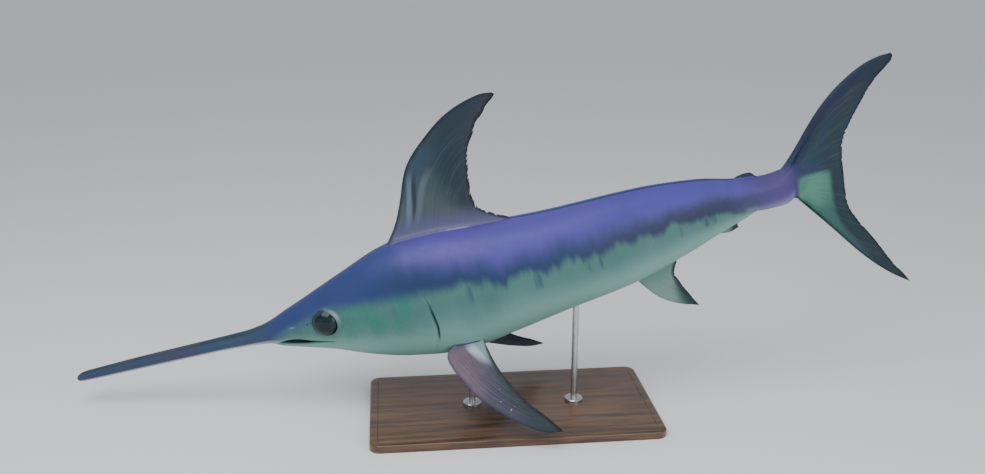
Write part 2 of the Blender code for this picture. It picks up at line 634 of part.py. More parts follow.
def make_stand(parts, tools):
    """A flat base with eased edges and two turned rods that stop at the belly."""
    def build(bm):
        bmesh.ops.create_cube(bm, size=1.0)
        bmesh.ops.scale(bm, verts=bm.verts, vec=BASE_SIZE)
        bmesh.ops.translate(bm, verts=bm.verts, vec=(0.0, 0.0, BASE_SIZE.z / 2))
        upright = [e for e in bm.edges if abs(e.verts[0].co.z - e.verts[1].co.z) > BASE_SIZE.z / 2]
        bmesh.ops.bevel(bm, geom=upright, offset=BASE_CORNER, segments=6, affect="EDGES", profile=0.5)
        top = [e for e in bm.edges if min(v.co.z for v in e.verts) > BASE_SIZE.z * 0.9]
        rim = [e for e in top if any(f.normal.z < 0.5 for f in e.link_faces)]
        bmesh.ops.bevel(bm, geom=rim, offset=BASE_EDGE, segments=3, affect="EDGES", profile=0.5)
    base = add_object("stand_base", mesh_of(build, "stand_base"), parts)
    settle(base, posed=False)
    finish(base, "base")
    for name, station in ROD_STATIONS.items():
        belly = float(smooth(BELLY_LINE, station))
        foot = pose_points([(station, 0.0, belly)])[0]
        top = foot[2] + 0.050
        ground = BASE_SIZE.z + FIT_GAP
        profile = ((0.0, top), (ROD_RADIUS, top), (ROD_RADIUS, ground + COLLAR_HEIGHT),
                   (COLLAR_RADIUS - COLLAR_EASE, ground + COLLAR_HEIGHT),
                   (COLLAR_RADIUS, ground + COLLAR_HEIGHT - COLLAR_EASE), (COLLAR_RADIUS, ground),
                   (0.0, ground))
        rod = turned(name, profile, (foot[0], foot[1], 0.0), parts)
        skin = body_length("skin", BILL_ROOT, STALK_END, tools, FIT_GAP)
        settle(skin)
        combine(rod, [skin], "DIFFERENCE")
        settle(rod, posed=False)
        finish(rod, "rod")


def main():
    for obj in list(bpy.data.objects):
        bpy.data.objects.remove(obj)
    parts = make_collection(PART_NAME)
    tools = make_collection("cutters")
    tools.hide_render = True
    make_head(parts, tools)
    make_trunk(parts)
    make_fins(parts, tools)
    make_stand(parts, tools)


main()
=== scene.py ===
# %% [markdown]
# # A still swordfish over a display base
#
# This lesson dresses a swordfish model that has already been built as plain solids. The solids give the
# sizes and places. Here the fish gets one unbroken skin with its mouth, gill slits and eye sockets, fins
# with fine rays, glossy eyes and the markings of a living fish, and the stand gets its wood and steel.

# %% Load the frame
import math

import bmesh
import bpy
import numpy as np
from mathutils import Matrix, Vector


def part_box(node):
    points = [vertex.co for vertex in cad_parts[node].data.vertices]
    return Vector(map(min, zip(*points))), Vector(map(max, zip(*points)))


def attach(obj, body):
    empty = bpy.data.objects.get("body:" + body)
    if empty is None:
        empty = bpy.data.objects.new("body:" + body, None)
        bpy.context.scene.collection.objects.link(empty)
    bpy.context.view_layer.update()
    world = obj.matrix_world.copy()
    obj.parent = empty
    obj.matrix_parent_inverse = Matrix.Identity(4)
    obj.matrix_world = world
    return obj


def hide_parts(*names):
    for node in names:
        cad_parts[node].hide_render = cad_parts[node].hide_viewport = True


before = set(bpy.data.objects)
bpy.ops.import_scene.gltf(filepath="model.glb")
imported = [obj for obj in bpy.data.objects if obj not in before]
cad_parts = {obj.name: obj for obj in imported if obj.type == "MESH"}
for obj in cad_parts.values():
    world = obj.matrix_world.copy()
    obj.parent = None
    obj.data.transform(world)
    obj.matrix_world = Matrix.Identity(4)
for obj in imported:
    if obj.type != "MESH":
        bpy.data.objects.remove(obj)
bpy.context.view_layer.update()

print("solids:", sorted(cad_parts))

# %% [markdown]
# ## The fish laid out straight
#
# A fish is easiest to describe lying straight: s runs along it from the tip of the lower jaw, y to its
# right and z up. A few guide curves give the line of the back, the line of the belly and the half width,
# and every piece reads them. One function then swings any point of the straight fish into its gliding pose.

# %% Guide curves, in metres
FORK_LENGTH = 1.650
BILL_TIP = -0.590
SKIN_END = 1.562
BACK_LINE = (
    (-0.590, 0.0095), (-0.578, 0.0155), (-0.560, 0.0175), (-0.530, 0.0185), (-0.412, 0.0215),
    (-0.082, 0.024), (-0.030, 0.030), (0.066, 0.063), (0.231, 0.125), (0.363, 0.172), (0.430, 0.184),
    (0.495, 0.183), (0.660, 0.166), (0.825, 0.151), (1.072, 0.141), (1.237, 0.118),
    (1.350, 0.086), (1.440, 0.0715), (1.475, 0.0740), (1.505, 0.0775), (1.535, 0.0765), (1.562, 0.0725),
)
BELLY_LINE = (
    (-0.590, -0.002), (-0.578, -0.0068), (-0.530, -0.0082), (-0.412, -0.009), (-0.170, -0.0105),
    (-0.082, -0.0140), (-0.030, -0.0182), (-0.004, -0.0220), (0.008, -0.0266), (0.033, -0.038),
    (0.099, -0.058), (0.165, -0.0775), (0.264, -0.117), (0.363, -0.146), (0.520, -0.169),
    (0.660, -0.153), (0.825, -0.134), (0.990, -0.121), (1.155, -0.087), (1.320, -0.038),
    (1.440, -0.007), (1.480, -0.014), (1.510, -0.024), (1.540, -0.028), (1.562, -0.026),
)
HALF_WIDTH = (
    (-0.590, 0.009), (-0.578, 0.0165), (-0.530, 0.0205), (-0.412, 0.0235), (-0.248, 0.0275),
    (-0.082, 0.031), (0.000, 0.038), (0.132, 0.066), (0.264, 0.091), (0.412, 0.111),
    (0.577, 0.118), (0.742, 0.110), (0.908, 0.096), (1.155, 0.068), (1.320, 0.048),
    (1.440, 0.034), (1.480, 0.026), (1.508, 0.0130), (1.520, 0.0078), (1.532, 0.0044), (1.548, 0.0024),
    (1.562, 0.0014),
)
WIDEST_LEVEL = ((-0.590, 0.50), (0.000, 0.50), (0.180, 0.46), (0.500, 0.48), (1.250, 0.46), (1.440, 0.25),
                (1.515, 0.48))
SQUARENESS = ((-0.590, 2.3), (0.000, 2.3), (0.180, 2.15), (0.600, 2.1), (1.400, 2.1), (1.515, 2.5))
KEEL_REACH = ((1.290, 0.0), (1.340, 0.008), (1.400, 0.029), (1.445, 0.037), (1.478, 0.030), (1.505, 0.0))
KEEL_ROOT = 0.46
KEEL_DROOP = 0.22


def smooth(guide, at):
    """Reads a curve through (position, value) points that never swings past them."""
    xs, values = np.array(guide, float).T
    steps = np.diff(xs)
    slopes = np.diff(values) / steps
    turning = slopes[:-1] * slopes[1:] <= 0.0
    weights_a = 2.0 * steps[1:] + steps[:-1]
    weights_b = steps[1:] + 2.0 * steps[:-1]
    safe_before = np.where(turning, 1.0, slopes[:-1])
    safe_after = np.where(turning, 1.0, slopes[1:])
    blended = (weights_a + weights_b) / (weights_a / safe_before + weights_b / safe_after)
    tangents = np.concatenate([slopes[:1], np.where(turning, 0.0, blended), slopes[-1:]])
    at = np.clip(at, xs[0], xs[-1])
    cell = np.clip(np.searchsorted(xs, at, side="right") - 1, 0, len(steps) - 1)
    t = (at - xs[cell]) / steps[cell]
    return (values[cell] * (1 + 2 * t) * (1 - t) ** 2 + values[cell + 1] * t * t * (3 - 2 * t)
            + steps[cell] * t * (1 - t) * (tangents[cell] * (1 - t) - tangents[cell + 1] * t))


def ease(low, high, at):
    """0 below low, 1 above high, and a soft step between."""
    share = np.clip((at - low) / (high - low), 0.0, 1.0)
    return share * share * (3.0 - 2.0 * share)


def bump(centre, width, at):
    """A bell of height 1."""
    return np.exp(-(((at - centre) / width) ** 2))


# %% The gliding pose
NOSE_DOWN = math.radians(15.0)
HEAD_TURN = math.radians(8.5)
TAIL_TURN = math.radians(3.0)
TAIL_ROLL = math.radians(6.0)
TURN_CENTRE = 0.45 * FORK_LENGTH
HEAD_TURN_END = 0.20 * FORK_LENGTH
TAIL_TURN_END = 0.90 * FORK_LENGTH
ROLL_START = 0.42 * FORK_LENGTH
ROLL_END = 0.80 * FORK_LENGTH
CENTRE_PLACE = np.array((0.050, 0.0, 0.420))
SPINE_STEP = 0.002


def heading(s):
    """The compass turn of the spine at s."""
    head_share = np.clip((TURN_CENTRE - s) / (TURN_CENTRE - HEAD_TURN_END), 0.0, 1.0)
    tail_share = np.clip((s - TURN_CENTRE) / (TAIL_TURN_END - TURN_CENTRE), 0.0, 1.0)
    return TAIL_TURN * tail_share - HEAD_TURN * head_share


spine_s = np.arange(BILL_TIP - 0.1, 1.3 * FORK_LENGTH, SPINE_STEP)
spine_turn = (heading(spine_s)[1:] + heading(spine_s)[:-1]) / 2.0
spine_x = np.concatenate([[0.0], np.cumsum(SPINE_STEP * np.cos(spine_turn))])
spine_y = np.concatenate([[0.0], np.cumsum(SPINE_STEP * np.sin(spine_turn))])
spine_x -= np.interp(TURN_CENTRE, spine_s, spine_x)
spine_y -= np.interp(TURN_CENTRE, spine_s, spine_y)


def pose(points):
    """Swings points of the straight fish into the pose: roll, bend, nose down, then lift."""
    s, y, z = np.asarray(points, float).reshape(-1, 3).T
    roll = TAIL_ROLL * ease(ROLL_START, ROLL_END, s)
    y, z = y * np.cos(roll) - z * np.sin(roll), y * np.sin(roll) + z * np.cos(roll)
    turn = heading(s)
    plan_x = np.interp(s, spine_s, spine_x) - y * np.sin(turn)
    plan_y = np.interp(s, spine_s, spine_y) + y * np.cos(turn)
    x = plan_x * math.cos(NOSE_DOWN) - z * math.sin(NOSE_DOWN)
    lift = plan_x * math.sin(NOSE_DOWN) + z * math.cos(NOSE_DOWN)
    return np.stack([x, plan_y, lift], axis=1) + CENTRE_PLACE


print("bill tip in the room:", pose([(BILL_TIP, 0.0, 0.0035)]).round(3))

# %% [markdown]
# ## Sheets of clay
#
# Each flesh piece starts as Blender's grid primitive, a flat sheet. Its points are moved on to the shape
# that the guide curves give, as if a sheet of clay were wrapped round a form, and where its edges meet they
# are sewn with Merge by Distance. This keeps the faces in neat rows along the fish, so that a lip or a gill
# slit can follow a row.

# %% Helpers for sheets


def pick_nothing():
    bpy.ops.object.select_all(action="DESELECT")


def pick_only(piece):
    pick_nothing()
    piece.select_set(True)
    bpy.context.view_layer.objects.active = piece


def start_sheet(name, across, along):
    """Adds a grid of across by along faces."""
    pick_nothing()
    bpy.ops.mesh.primitive_grid_add(x_subdivisions=across, y_subdivisions=along, size=1.0)
    piece = bpy.context.object
    piece.name = name
    piece.data.name = name
    return piece


def store(piece, name, values):
    """Writes one number or one vector at each point, for the materials to read."""
    values = np.asarray(values, np.float32)
    vector = values.ndim == 2
    layer = piece.data.attributes.new(name, "FLOAT_VECTOR" if vector else "FLOAT", "POINT")
    layer.data.foreach_set("vector" if vector else "value", values.ravel())


def shape(piece, points):
    piece.data.vertices.foreach_set("co", np.asarray(points, np.float32).ravel())
    piece.data.update()


def sew(piece, reach=0.00002):
    """Merges points that meet, turns the faces outwards and shades the piece smooth."""
    pick_only(piece)
    bpy.ops.object.mode_set(mode="EDIT")
    bpy.ops.mesh.select_all(action="SELECT")
    bpy.ops.mesh.remove_doubles(threshold=reach)
    bpy.ops.mesh.normals_make_consistent(inside=False)
    bpy.ops.object.mode_set(mode="OBJECT")
    piece.data.shade_smooth()
    counter = bmesh.new()
    counter.from_mesh(piece.data)
    open_edges = sum(1 for edge in counter.edges if len(edge.link_faces) != 2)
    counter.free()
    triangles = sum(len(face.vertices) - 2 for face in piece.data.polygons)
    print(f"{piece.name}: {triangles} triangles, {open_edges} open edges")


# %% [markdown]
# ## The skin
#
# A swordfish has no scales when grown, so the skin is one smooth bag from the bill to the tail. It is laid
# out in rings across the fish and rows along it. The rows bunch up along the line of the mouth, and the
# rings bend to follow the rear edge of the gill cover, so that both are cut crisply.

# %% Rings and rows of the skin
ROWS_BELOW_MOUTH = 27
ROWS_ABOVE_MOUTH = 72
RING_STEPS = ((-0.5865, -0.560, 0.0027), (-0.560, -0.030, 0.009), (-0.030, 0.100, 0.0026),
              (0.100, 0.240, 0.0019), (0.240, 0.452, 0.0032), (0.452, 0.480, 0.0010),
              (0.480, 0.500, 0.0030),
              (0.500, 1.240, 0.0095), (1.240, 1.400, 0.006), (1.400, SKIN_END, 0.0034))
TIP_ROUNDING = 0.0034
TIP_TURNS = (0.0, 30.0, 60.0)

MOUTH_LINE = ((-0.060, -0.0150), (0.000, -0.0195), (0.060, -0.0228), (0.120, -0.0275), (0.188, -0.0360))
MOUTH_FRONT = 0.006
MOUTH_CORNER = 0.188
# The rear edge of the gill cover: girth in degrees (-90 under the belly, 90 on the back), then s
GILL_EDGE = ((-90, 0.380), (-66, 0.408), (-49, 0.444), (-30, 0.464), (-14, 0.4705), (1, 0.467), (15, 0.457),
             (23, 0.448), (40, 0.440), (90, 0.440))
GILL_RING = 0.4705


def ring_stations():
    stations = [RING_STEPS[0][0]]
    for low, high, step in RING_STEPS:
        count = max(1, round((high - low) / step))
        stations += [low + (high - low) * k / count for k in range(1, count + 1)]
    return np.array(stations)


def section(s):
    """Top, bottom and half width of the body, the height where it is widest and the curve's power."""
    top = smooth(BACK_LINE, s)
    bottom = smooth(BELLY_LINE, s)
    level = bottom + (top - bottom) * smooth(WIDEST_LEVEL, s)
    return top, bottom, smooth(HALF_WIDTH, s), level, 2.0 / smooth(SQUARENESS, s)


def girth_at(s, z):
    """The girth angle where the skin has height z."""
    top, bottom, _, level, power = section(s)
    rise = np.where(z > level, top - level, level - bottom)
    share = np.clip(np.abs(z - level) / rise, 0.0, 1.0) ** (1.0 / power)
    return np.copysign(np.arcsin(share), z - level)


def skin_point(s, girth):
    """Right-hand side of the skin at s: girth runs from a quarter turn below to a quarter turn above."""
    top, bottom, half, level, power = section(s)
    across, along = np.cos(girth), np.sin(girth)
    flange = smooth(KEEL_REACH, s) * np.clip(1.0 - np.abs(along) / KEEL_ROOT, 0.0, 1.0) ** 1.3
    rise = np.where(along > 0.0, top - level, level - bottom)
    y = half * np.abs(across) ** power + flange
    z = level + np.copysign(rise * np.abs(along) ** power, along) - KEEL_DROOP * flange
    return y, z


def mouth_girth(s):
    inside = np.clip(s, MOUTH_FRONT, MOUTH_CORNER)
    return girth_at(inside, smooth(MOUTH_LINE, inside))


def row_girths(s):
    """Girth of every row at stations s, bunched up at the mouth line."""
    below = np.linspace(1.0, 0.0, ROWS_BELOW_MOUTH + 1)[:-1]
    above = np.linspace(0.0, 1.0, ROWS_ABOVE_MOUTH + 1)
    below = 0.16 * below + 0.84 * below ** 2.0
    above = 0.24 * above + 0.76 * above * above * (3.0 - 2.0 * above)
    mouth = mouth_girth(s)[..., None]
    low = mouth - (mouth + math.pi / 2.0) * below
    high = mouth + (math.pi / 2.0 - mouth) * above
    return np.concatenate([low, high], axis=-1)


stations = ring_stations()
rows = ROWS_BELOW_MOUTH + ROWS_ABOVE_MOUTH + 1
girths = row_girths(stations)
gill_shift = smooth(GILL_EDGE, np.degrees(girths)) - GILL_RING
pull = ease(0.300, GILL_RING, stations) * (1.0 - ease(GILL_RING + 0.002, 0.640, stations))
along_fish = stations[:, None] + gill_shift * pull[:, None]
print("skin rings:", len(stations), "rows each side:", rows)

# %% [markdown]
# ## What the skin does at the head
#
# The head's features are pushed in or out along the skin: the mouth with its two lips, the gill slit under
# the edge of its cover, the socket with its rim and the brow over it, two nostrils, and the faint lines of
# the cheek bones. The amount is one number per point, built up from small soft steps and bells.

# %% Sizes of the head's features
EYE_CENTRE = Vector((0.180, 0.058, 0.020))
EYE_RADII = Vector((0.0425, 0.027, 0.0415))
SOCKET_RADIUS = 0.0300
ORBIT_RADIUS = 0.0350
ORBIT_ROLL = 0.0026
NOSTRILS = ((0.124, 0.026, 0.0036), (0.135, 0.029, 0.0027))
MOUTH_DEPTH = 0.0150
MOUTH_GAPE = ((-0.004, 0.0010), (0.010, 0.0046), (0.034, 0.0084), (0.054, 0.0118), (0.074, 0.0134),
              (0.090, 0.0124), (0.108, 0.0092), (0.126, 0.0060), (0.150, 0.0036), (0.188, 0.0010))
JAW_DROP = 0.10
LIP_SOFTNESS = 0.0007
GILL_DEPTH = 0.0065
GILL_HALF_WIDTH = 0.0026
BROW_LINE = 0.0600
BROW_HEIGHT = 0.0066
LIP_HEIGHT = 0.0013
COVER_LIFT = 0.0026
SOCKET_DEPTH = 0.0150
NOSTRIL_DEPTH = 0.0052
# The faint lines of the cheek bones: s, height, depth
CHEEK_LINES = ((0.262, -0.020, 0.0010), (0.300, -0.030, 0.0012), (0.356, -0.020, 0.0008))

# %% How far the skin is pushed in or out


def head_relief(s, y, z, girth, from_mouth, from_gill):
    """How far the skin is pushed out, and how much painted shade each point gets, from 0 to 1: darkness
    painted into the mouth opening, the gill slit, the nostrils, the rim of the socket and under the brow.
    """
    mouth_span = ease(-0.002, 0.010, s) * (1.0 - ease(MOUTH_CORNER - 0.010, MOUTH_CORNER + 0.002, s))
    gape_half = smooth(MOUTH_GAPE, s)
    from_middle = from_mouth + JAW_DROP * gape_half
    lip_end = 1.24 * gape_half + LIP_SOFTNESS
    gape = mouth_span * (1.0 - ease(0.66 * gape_half, lip_end, np.abs(from_middle)))
    out = -MOUTH_DEPTH * gape * np.clip(gape_half / 0.0020, 0.25, 1.0)
    lips = bump(gape_half + 0.0028, 0.0024, from_middle)
    lips += 0.7 * bump(-gape_half - 0.0032, 0.0028, from_middle)
    out += LIP_HEIGHT * mouth_span * lips
    out -= 0.0010 * mouth_span * bump(-0.0240, 0.0050, from_mouth)
    degrees = np.degrees(girth)
    gill_span = ease(-40.0, -24.0, degrees) * (1.0 - ease(-8.0, 21.0, degrees))
    slit = gill_span * bump(0.0008, GILL_HALF_WIDTH, from_gill)
    out -= GILL_DEPTH * slit
    cover_span = ease(-62.0, -36.0, degrees) * (1.0 - ease(-4.0, 16.0, degrees))
    cover_edge = ease(-0.055, -0.004, from_gill) * (1.0 - ease(-0.0030, 0.0012, from_gill))
    out += COVER_LIFT * cover_span * cover_edge
    eye_distance = np.hypot(s - EYE_CENTRE.x, z - EYE_CENTRE.z)
    out += ORBIT_ROLL * bump(ORBIT_RADIUS, 0.0040, eye_distance)
    out -= 0.0014 * bump(ORBIT_RADIUS + 0.0105, 0.0050, eye_distance)
    out -= SOCKET_DEPTH * (1.0 - ease(SOCKET_RADIUS - 0.0045, SOCKET_RADIUS + 0.0020, eye_distance))
    socket = bump(SOCKET_RADIUS + 0.0004, 0.0021, eye_distance)
    upward = np.clip((z - EYE_CENTRE.z) / np.maximum(eye_distance, 0.001), 0.0, 1.0)
    brow_line = BROW_LINE + 0.12 * (s - 0.186)
    out += BROW_HEIGHT * bump(0.188, 0.040, s) * bump(brow_line, 0.0080, z)
    out -= 0.0018 * bump(0.190, 0.050, s) * bump(brow_line + 0.021, 0.010, z)
    forward = ease(-0.010, 0.010, EYE_CENTRE.x + 0.012 - s)
    brow_shade = upward ** 1.5 * forward * bump(ORBIT_RADIUS + 0.0020, 0.0056, eye_distance)
    shaded = np.maximum(0.75 * socket, 0.62 * brow_shade)
    pits = np.zeros_like(s)
    for nostril_s, nostril_z, radius in NOSTRILS:
        distance = np.hypot(s - nostril_s, z - nostril_z)
        pits += bump(0.0, radius * 0.75, distance)
        out += 0.0008 * bump(radius * 1.5, radius * 0.5, distance)
    out -= NOSTRIL_DEPTH * pits
    for line_s, line_z, depth in CHEEK_LINES:
        bone = line_s + 1.6 * (z - line_z) ** 2 - 0.25 * (z - line_z)
        out -= depth * bump(bone, 0.0050, s) * bump(line_z, 0.046, z)
    out += 0.0018 * bump(0.214, 0.016, s) * bump(-0.056, 0.018, z)
    # Painted shade: the mouth opening, gill slit, nostrils, socket rim and brow are darkened in the skin's
    # colour by this share.
    crease_shade = np.clip(1.15 * gape + 0.72 * slit + 0.8 * pits + shaded, 0.0, 1.0)
    return out, crease_shade


def lid_and_glint(s, z):
    """The pale fold behind and above the eye, partly a painted highlight, and a small painted glint further
    forward on the snout, from 0 to 1.
    """
    distance = np.hypot(s - EYE_CENTRE.x, z - EYE_CENTRE.z)
    turn = np.degrees(np.arctan2(z - EYE_CENTRE.z, s - EYE_CENTRE.x))
    fold = bump(ORBIT_RADIUS + 0.0040, 0.0052, distance) * bump(38.0, 28.0, turn)
    return fold + 0.8 * bump(0.078, 0.0070, s) * bump(0.0240, 0.0022, z)


# %% Shape the skin
GROOVE_DEPTH = ((0.720, 0.0), (0.780, 0.0030), (1.250, 0.0030), (1.310, 0.0))
GROOVE_HALF_WIDTH = 0.0060
# Where the pale flank meets the dark band, and the band the violet back: s, then girth in degrees
PALE_EDGE = ((-0.060, -46), (-0.020, -34), (0.004, -15), (0.024, -2), (0.054, 9), (0.086, 16), (0.110, 20),
             (0.132, 21), (0.152, 25), (0.178, 32), (0.200, 31), (0.226, 27), (0.268, 23), (0.310, 20),
             (0.352, 18.5), (0.430, 16), (0.582, 16), (0.614, 12), (0.672, 10), (0.766, 10), (0.868, 9),
             (0.962, 9), (1.064, 8.5), (1.168, 6.5), (1.272, 3.5), (1.340, 2), (1.420, -10), (1.500, -40))
BAND_EDGE = ((0.200, 62), (0.330, 50), (0.450, 42), (0.524, 37), (0.590, 32), (0.684, 27), (0.758, 29),
             (0.978, 31), (1.128, 32), (1.206, 34), (1.284, 36), (1.378, 31), (1.450, 26))


def grid_normals(points):
    """Normals of a ring-by-row sheet of points, from its neighbours."""
    along = np.gradient(points, axis=0)
    around = np.gradient(points, axis=1)
    normal = np.cross(around, along)
    return normal / np.maximum(np.linalg.norm(normal, axis=-1, keepdims=True), 1e-12)


girths = np.stack([row_girths(along_fish[:, k])[:, k] for k in range(rows)], axis=1)
side_y, side_z = skin_point(along_fish, girths)
right_side = np.stack([along_fish, side_y, side_z], axis=-1)
row_step = np.hypot(np.diff(side_y, axis=1), np.diff(side_z, axis=1))
row_run = np.concatenate([np.zeros((len(stations), 1)), np.cumsum(row_step, axis=1)], axis=1)
from_mouth = row_run - row_run[:, ROWS_BELOW_MOUTH:ROWS_BELOW_MOUTH + 1]
from_gill = along_fish - smooth(GILL_EDGE, np.degrees(girths))
relief, crease_shade = head_relief(along_fish, side_y, side_z, girths, from_mouth, from_gill)
relief -= smooth(GROOVE_DEPTH, along_fish) * bump(0.0, GROOVE_HALF_WIDTH, side_y) * ease(0.8, 1.0, girths)
lid_glint = lid_and_glint(along_fish, side_z)
keel_widest = max(reach for _, reach in KEEL_REACH)
# Painted highlight: a pale glint along the outer edge of the tail stalk's keel.
keel_glint = smooth(KEEL_REACH, along_fish) / keel_widest * bump(0.0, 0.10, np.sin(girths))
degrees = np.degrees(girths)
over_pale = (degrees - smooth(PALE_EDGE, along_fish)) / 90.0
over_band = (degrees - smooth(BAND_EDGE, along_fish)) / 90.0
outward = grid_normals(right_side)
outward *= np.sign(outward[..., 1:2].mean())
outward[:, 0] = (0.0, 0.0, -1.0)
outward[:, -1] = (0.0, 0.0, 1.0)
right_side = right_side + outward * relief[..., None]
right_side[:, 0, 1] = 0.0
right_side[:, -1, 1] = 0.0
left_side = right_side * (1.0, -1.0, 1.0)
around_points = np.concatenate([left_side, right_side[:, -2::-1]], axis=1)

# %% Close and sew the skin


def round_off(ring, beyond, turns):
    """Rings that close an end: each is the end ring drawn in towards its middle."""
    middle = ring.mean(axis=0)
    caps = []
    for turn in turns:
        cap = middle + (ring - middle) * math.sin(math.radians(turn))
        cap[:, 0] = ring[:, 0] + beyond * math.cos(math.radians(turn))
        caps.append(cap)
    return caps


front_caps = round_off(around_points[0], -TIP_ROUNDING, TIP_TURNS)
rear_caps = round_off(around_points[-1], TIP_ROUNDING, TIP_TURNS)[::-1]
straight = np.stack(front_caps + list(around_points) + rear_caps)
skin = start_sheet("fish_skin", straight.shape[1] - 1, straight.shape[0] - 1)
shape(skin, pose(straight))
store(skin, "still", straight.reshape(-1, 3))
marks = {"girth": degrees / 90.0, "over_pale": over_pale, "over_band": over_band, "crease_shade": crease_shade,
         "lid_glint": lid_glint, "keel_edge_glint": keel_glint}
for name, values in marks.items():
    both_sides = np.concatenate([values, values[:, -2::-1]], axis=1)
    padded = np.pad(both_sides, ((len(front_caps), len(rear_caps)), (0, 0)), mode="edge")
    store(skin, name, padded.ravel())
sew(skin)

# %% [markdown]
# ## Eyes
#
# A swordfish's eye is huge and looks straight out sideways. Each is a ball squashed to fill its socket,
# with its pole on the line of sight, so that the iris is a set of rings round the pole. The clear bulge of
# the cornea is a slight lift round the pole, and the wet gloss comes from the material's coat.

# %% Shape the eyes
CORNEA_LIFT = 0.0012


def make_eye(side, word):
    pick_nothing()
    bpy.ops.mesh.primitive_uv_sphere_add(segments=96, ring_count=64, radius=1.0)
    ball = bpy.context.object
    ball.name = f"eye_{word}_ball"
    unit = np.array([vert.co for vert in ball.data.vertices])
    lift = CORNEA_LIFT * ease(0.62, 0.90, unit[:, 2])
    still = np.stack([EYE_CENTRE.x + EYE_RADII.x * unit[:, 0],
                      side * (EYE_CENTRE.y + EYE_RADII.y * unit[:, 2] + lift),
                      EYE_CENTRE.z + EYE_RADII.z * unit[:, 1]], axis=1)
    shape(ball, pose(still))
    store(ball, "look", unit)
    sew(ball)
    return ball


eyes = {word: make_eye(side, word) for side, word in ((-1, "left"), (1, "right"))}

# %% [markdown]
# ## Fins
#
# A fin is a fan of rays: every ray starts at the sunk root and ends on the trailing edge. The sheet is
# wrapped round the blade, down one face and up the other, so the leading edge can be rounded. Between the
# rays the blade is thinner, which shows as fine ridges, and near the body it thickens into a fleshy foot.

# %% Outlines of the fins, as (s, z) on the midline and (back, reach) for the pair at the side
DORSAL_LEADING = ((0.372, 0.158), (0.396, 0.187), (0.414, 0.209), (0.433, 0.238), (0.452, 0.275),
                  (0.500, 0.372), (0.570, 0.436), (0.635, 0.477), (0.698, 0.4975), (0.743, 0.5025),
                  (0.766, 0.4985))
DORSAL_TRAILING = ((0.766, 0.4985), (0.7695, 0.4925), (0.764, 0.486), (0.743, 0.471), (0.729, 0.4545),
                   (0.708, 0.439), (0.692, 0.411), (0.671, 0.381), (0.657, 0.334), (0.6475, 0.286),
                   (0.644, 0.243), (0.652, 0.214), (0.677, 0.192), (0.714, 0.170), (0.742, 0.154))
DORSAL_ROOT_REAR = (0.742, 0.136)
SECOND_DORSAL_LEADING = ((1.312, 0.074), (1.338, 0.0895), (1.364, 0.0955), (1.383, 0.0945))
SECOND_DORSAL_TRAILING = ((1.383, 0.0945), (1.3905, 0.0905), (1.396, 0.0835), (1.406, 0.0735))
SECOND_DORSAL_ROOT_REAR = (1.382, 0.060)
FIRST_ANAL_LEADING = ((1.008, -0.100), (1.040, -0.150), (1.070, -0.190), (1.110, -0.223), (1.182, -0.258))
FIRST_ANAL_TRAILING = ((1.182, -0.258), (1.160, -0.212), (1.139, -0.165), (1.130, -0.131), (1.142, -0.104),
                       (1.168, -0.080))
FIRST_ANAL_ROOT_REAR = (1.150, -0.066)
SECOND_ANAL_LEADING = ((1.250, -0.038), (1.280, -0.059), (1.309, -0.063), (1.332, -0.056))
SECOND_ANAL_TRAILING = ((1.332, -0.056), (1.330, -0.047), (1.341, -0.041), (1.366, -0.035))
SECOND_ANAL_ROOT_REAR = (1.326, -0.012)
TAIL_UPPER_LEADING = ((1.462, 0.050), (1.489, 0.084), (1.525, 0.128), (1.560, 0.172), (1.600, 0.216),
                      (1.640, 0.250), (1.690, 0.2805), (1.735, 0.300), (1.778, 0.3085), (1.813, 0.3085))
TAIL_UPPER_TRAILING = ((1.813, 0.3085), (1.8190, 0.3025), (1.8155, 0.290), (1.799, 0.2755), (1.770, 0.2545),
                       (1.725, 0.2045), (1.686, 0.153), (1.658, 0.102), (1.651, 0.056), (1.6505, 0.012))
TAIL_LOWER_LEADING = ((1.490, 0.005), (1.510, -0.026), (1.541, -0.068), (1.575, -0.114), (1.602, -0.151),
                      (1.637, -0.200), (1.673, -0.249), (1.734, -0.321), (1.777, -0.363), (1.820, -0.398))
TAIL_LOWER_TRAILING = ((1.820, -0.398), (1.803, -0.367), (1.779, -0.330), (1.753, -0.283), (1.727, -0.232),
                       (1.703, -0.190), (1.674, -0.139), (1.656, -0.096), (1.651, -0.055), (1.6505, 0.012))
TAIL_MIDDLE_ROOT = (1.470, 0.028)
PECTORAL_ROOT = Vector((0.478, 0.076, -0.129))
PECTORAL_SPREAD = {"left": math.radians(50.4), "right": math.radians(48.5)}
PECTORAL_SWEEP = {"left": 0.0, "right": math.radians(6.0)}
PECTORAL_DROOP = 0.012
PECTORAL_LEADING = ((0.046, -0.030), (0.026, -0.008), (0.008, 0.002), (-0.006, 0.013), (-0.010, 0.027),
                    (-0.006, 0.044), (0.002, 0.066), (0.015, 0.090), (0.041, 0.142), (0.079, 0.189),
                    (0.135, 0.245), (0.191, 0.283), (0.228, 0.291))
PECTORAL_TRAILING = ((0.228, 0.291), (0.196, 0.240), (0.164, 0.198), (0.132, 0.132), (0.112, 0.080),
                     (0.100, 0.030), (0.094, 0.004))
PECTORAL_ROOT_REAR = (0.090, -0.030)

# %% Reading an outline


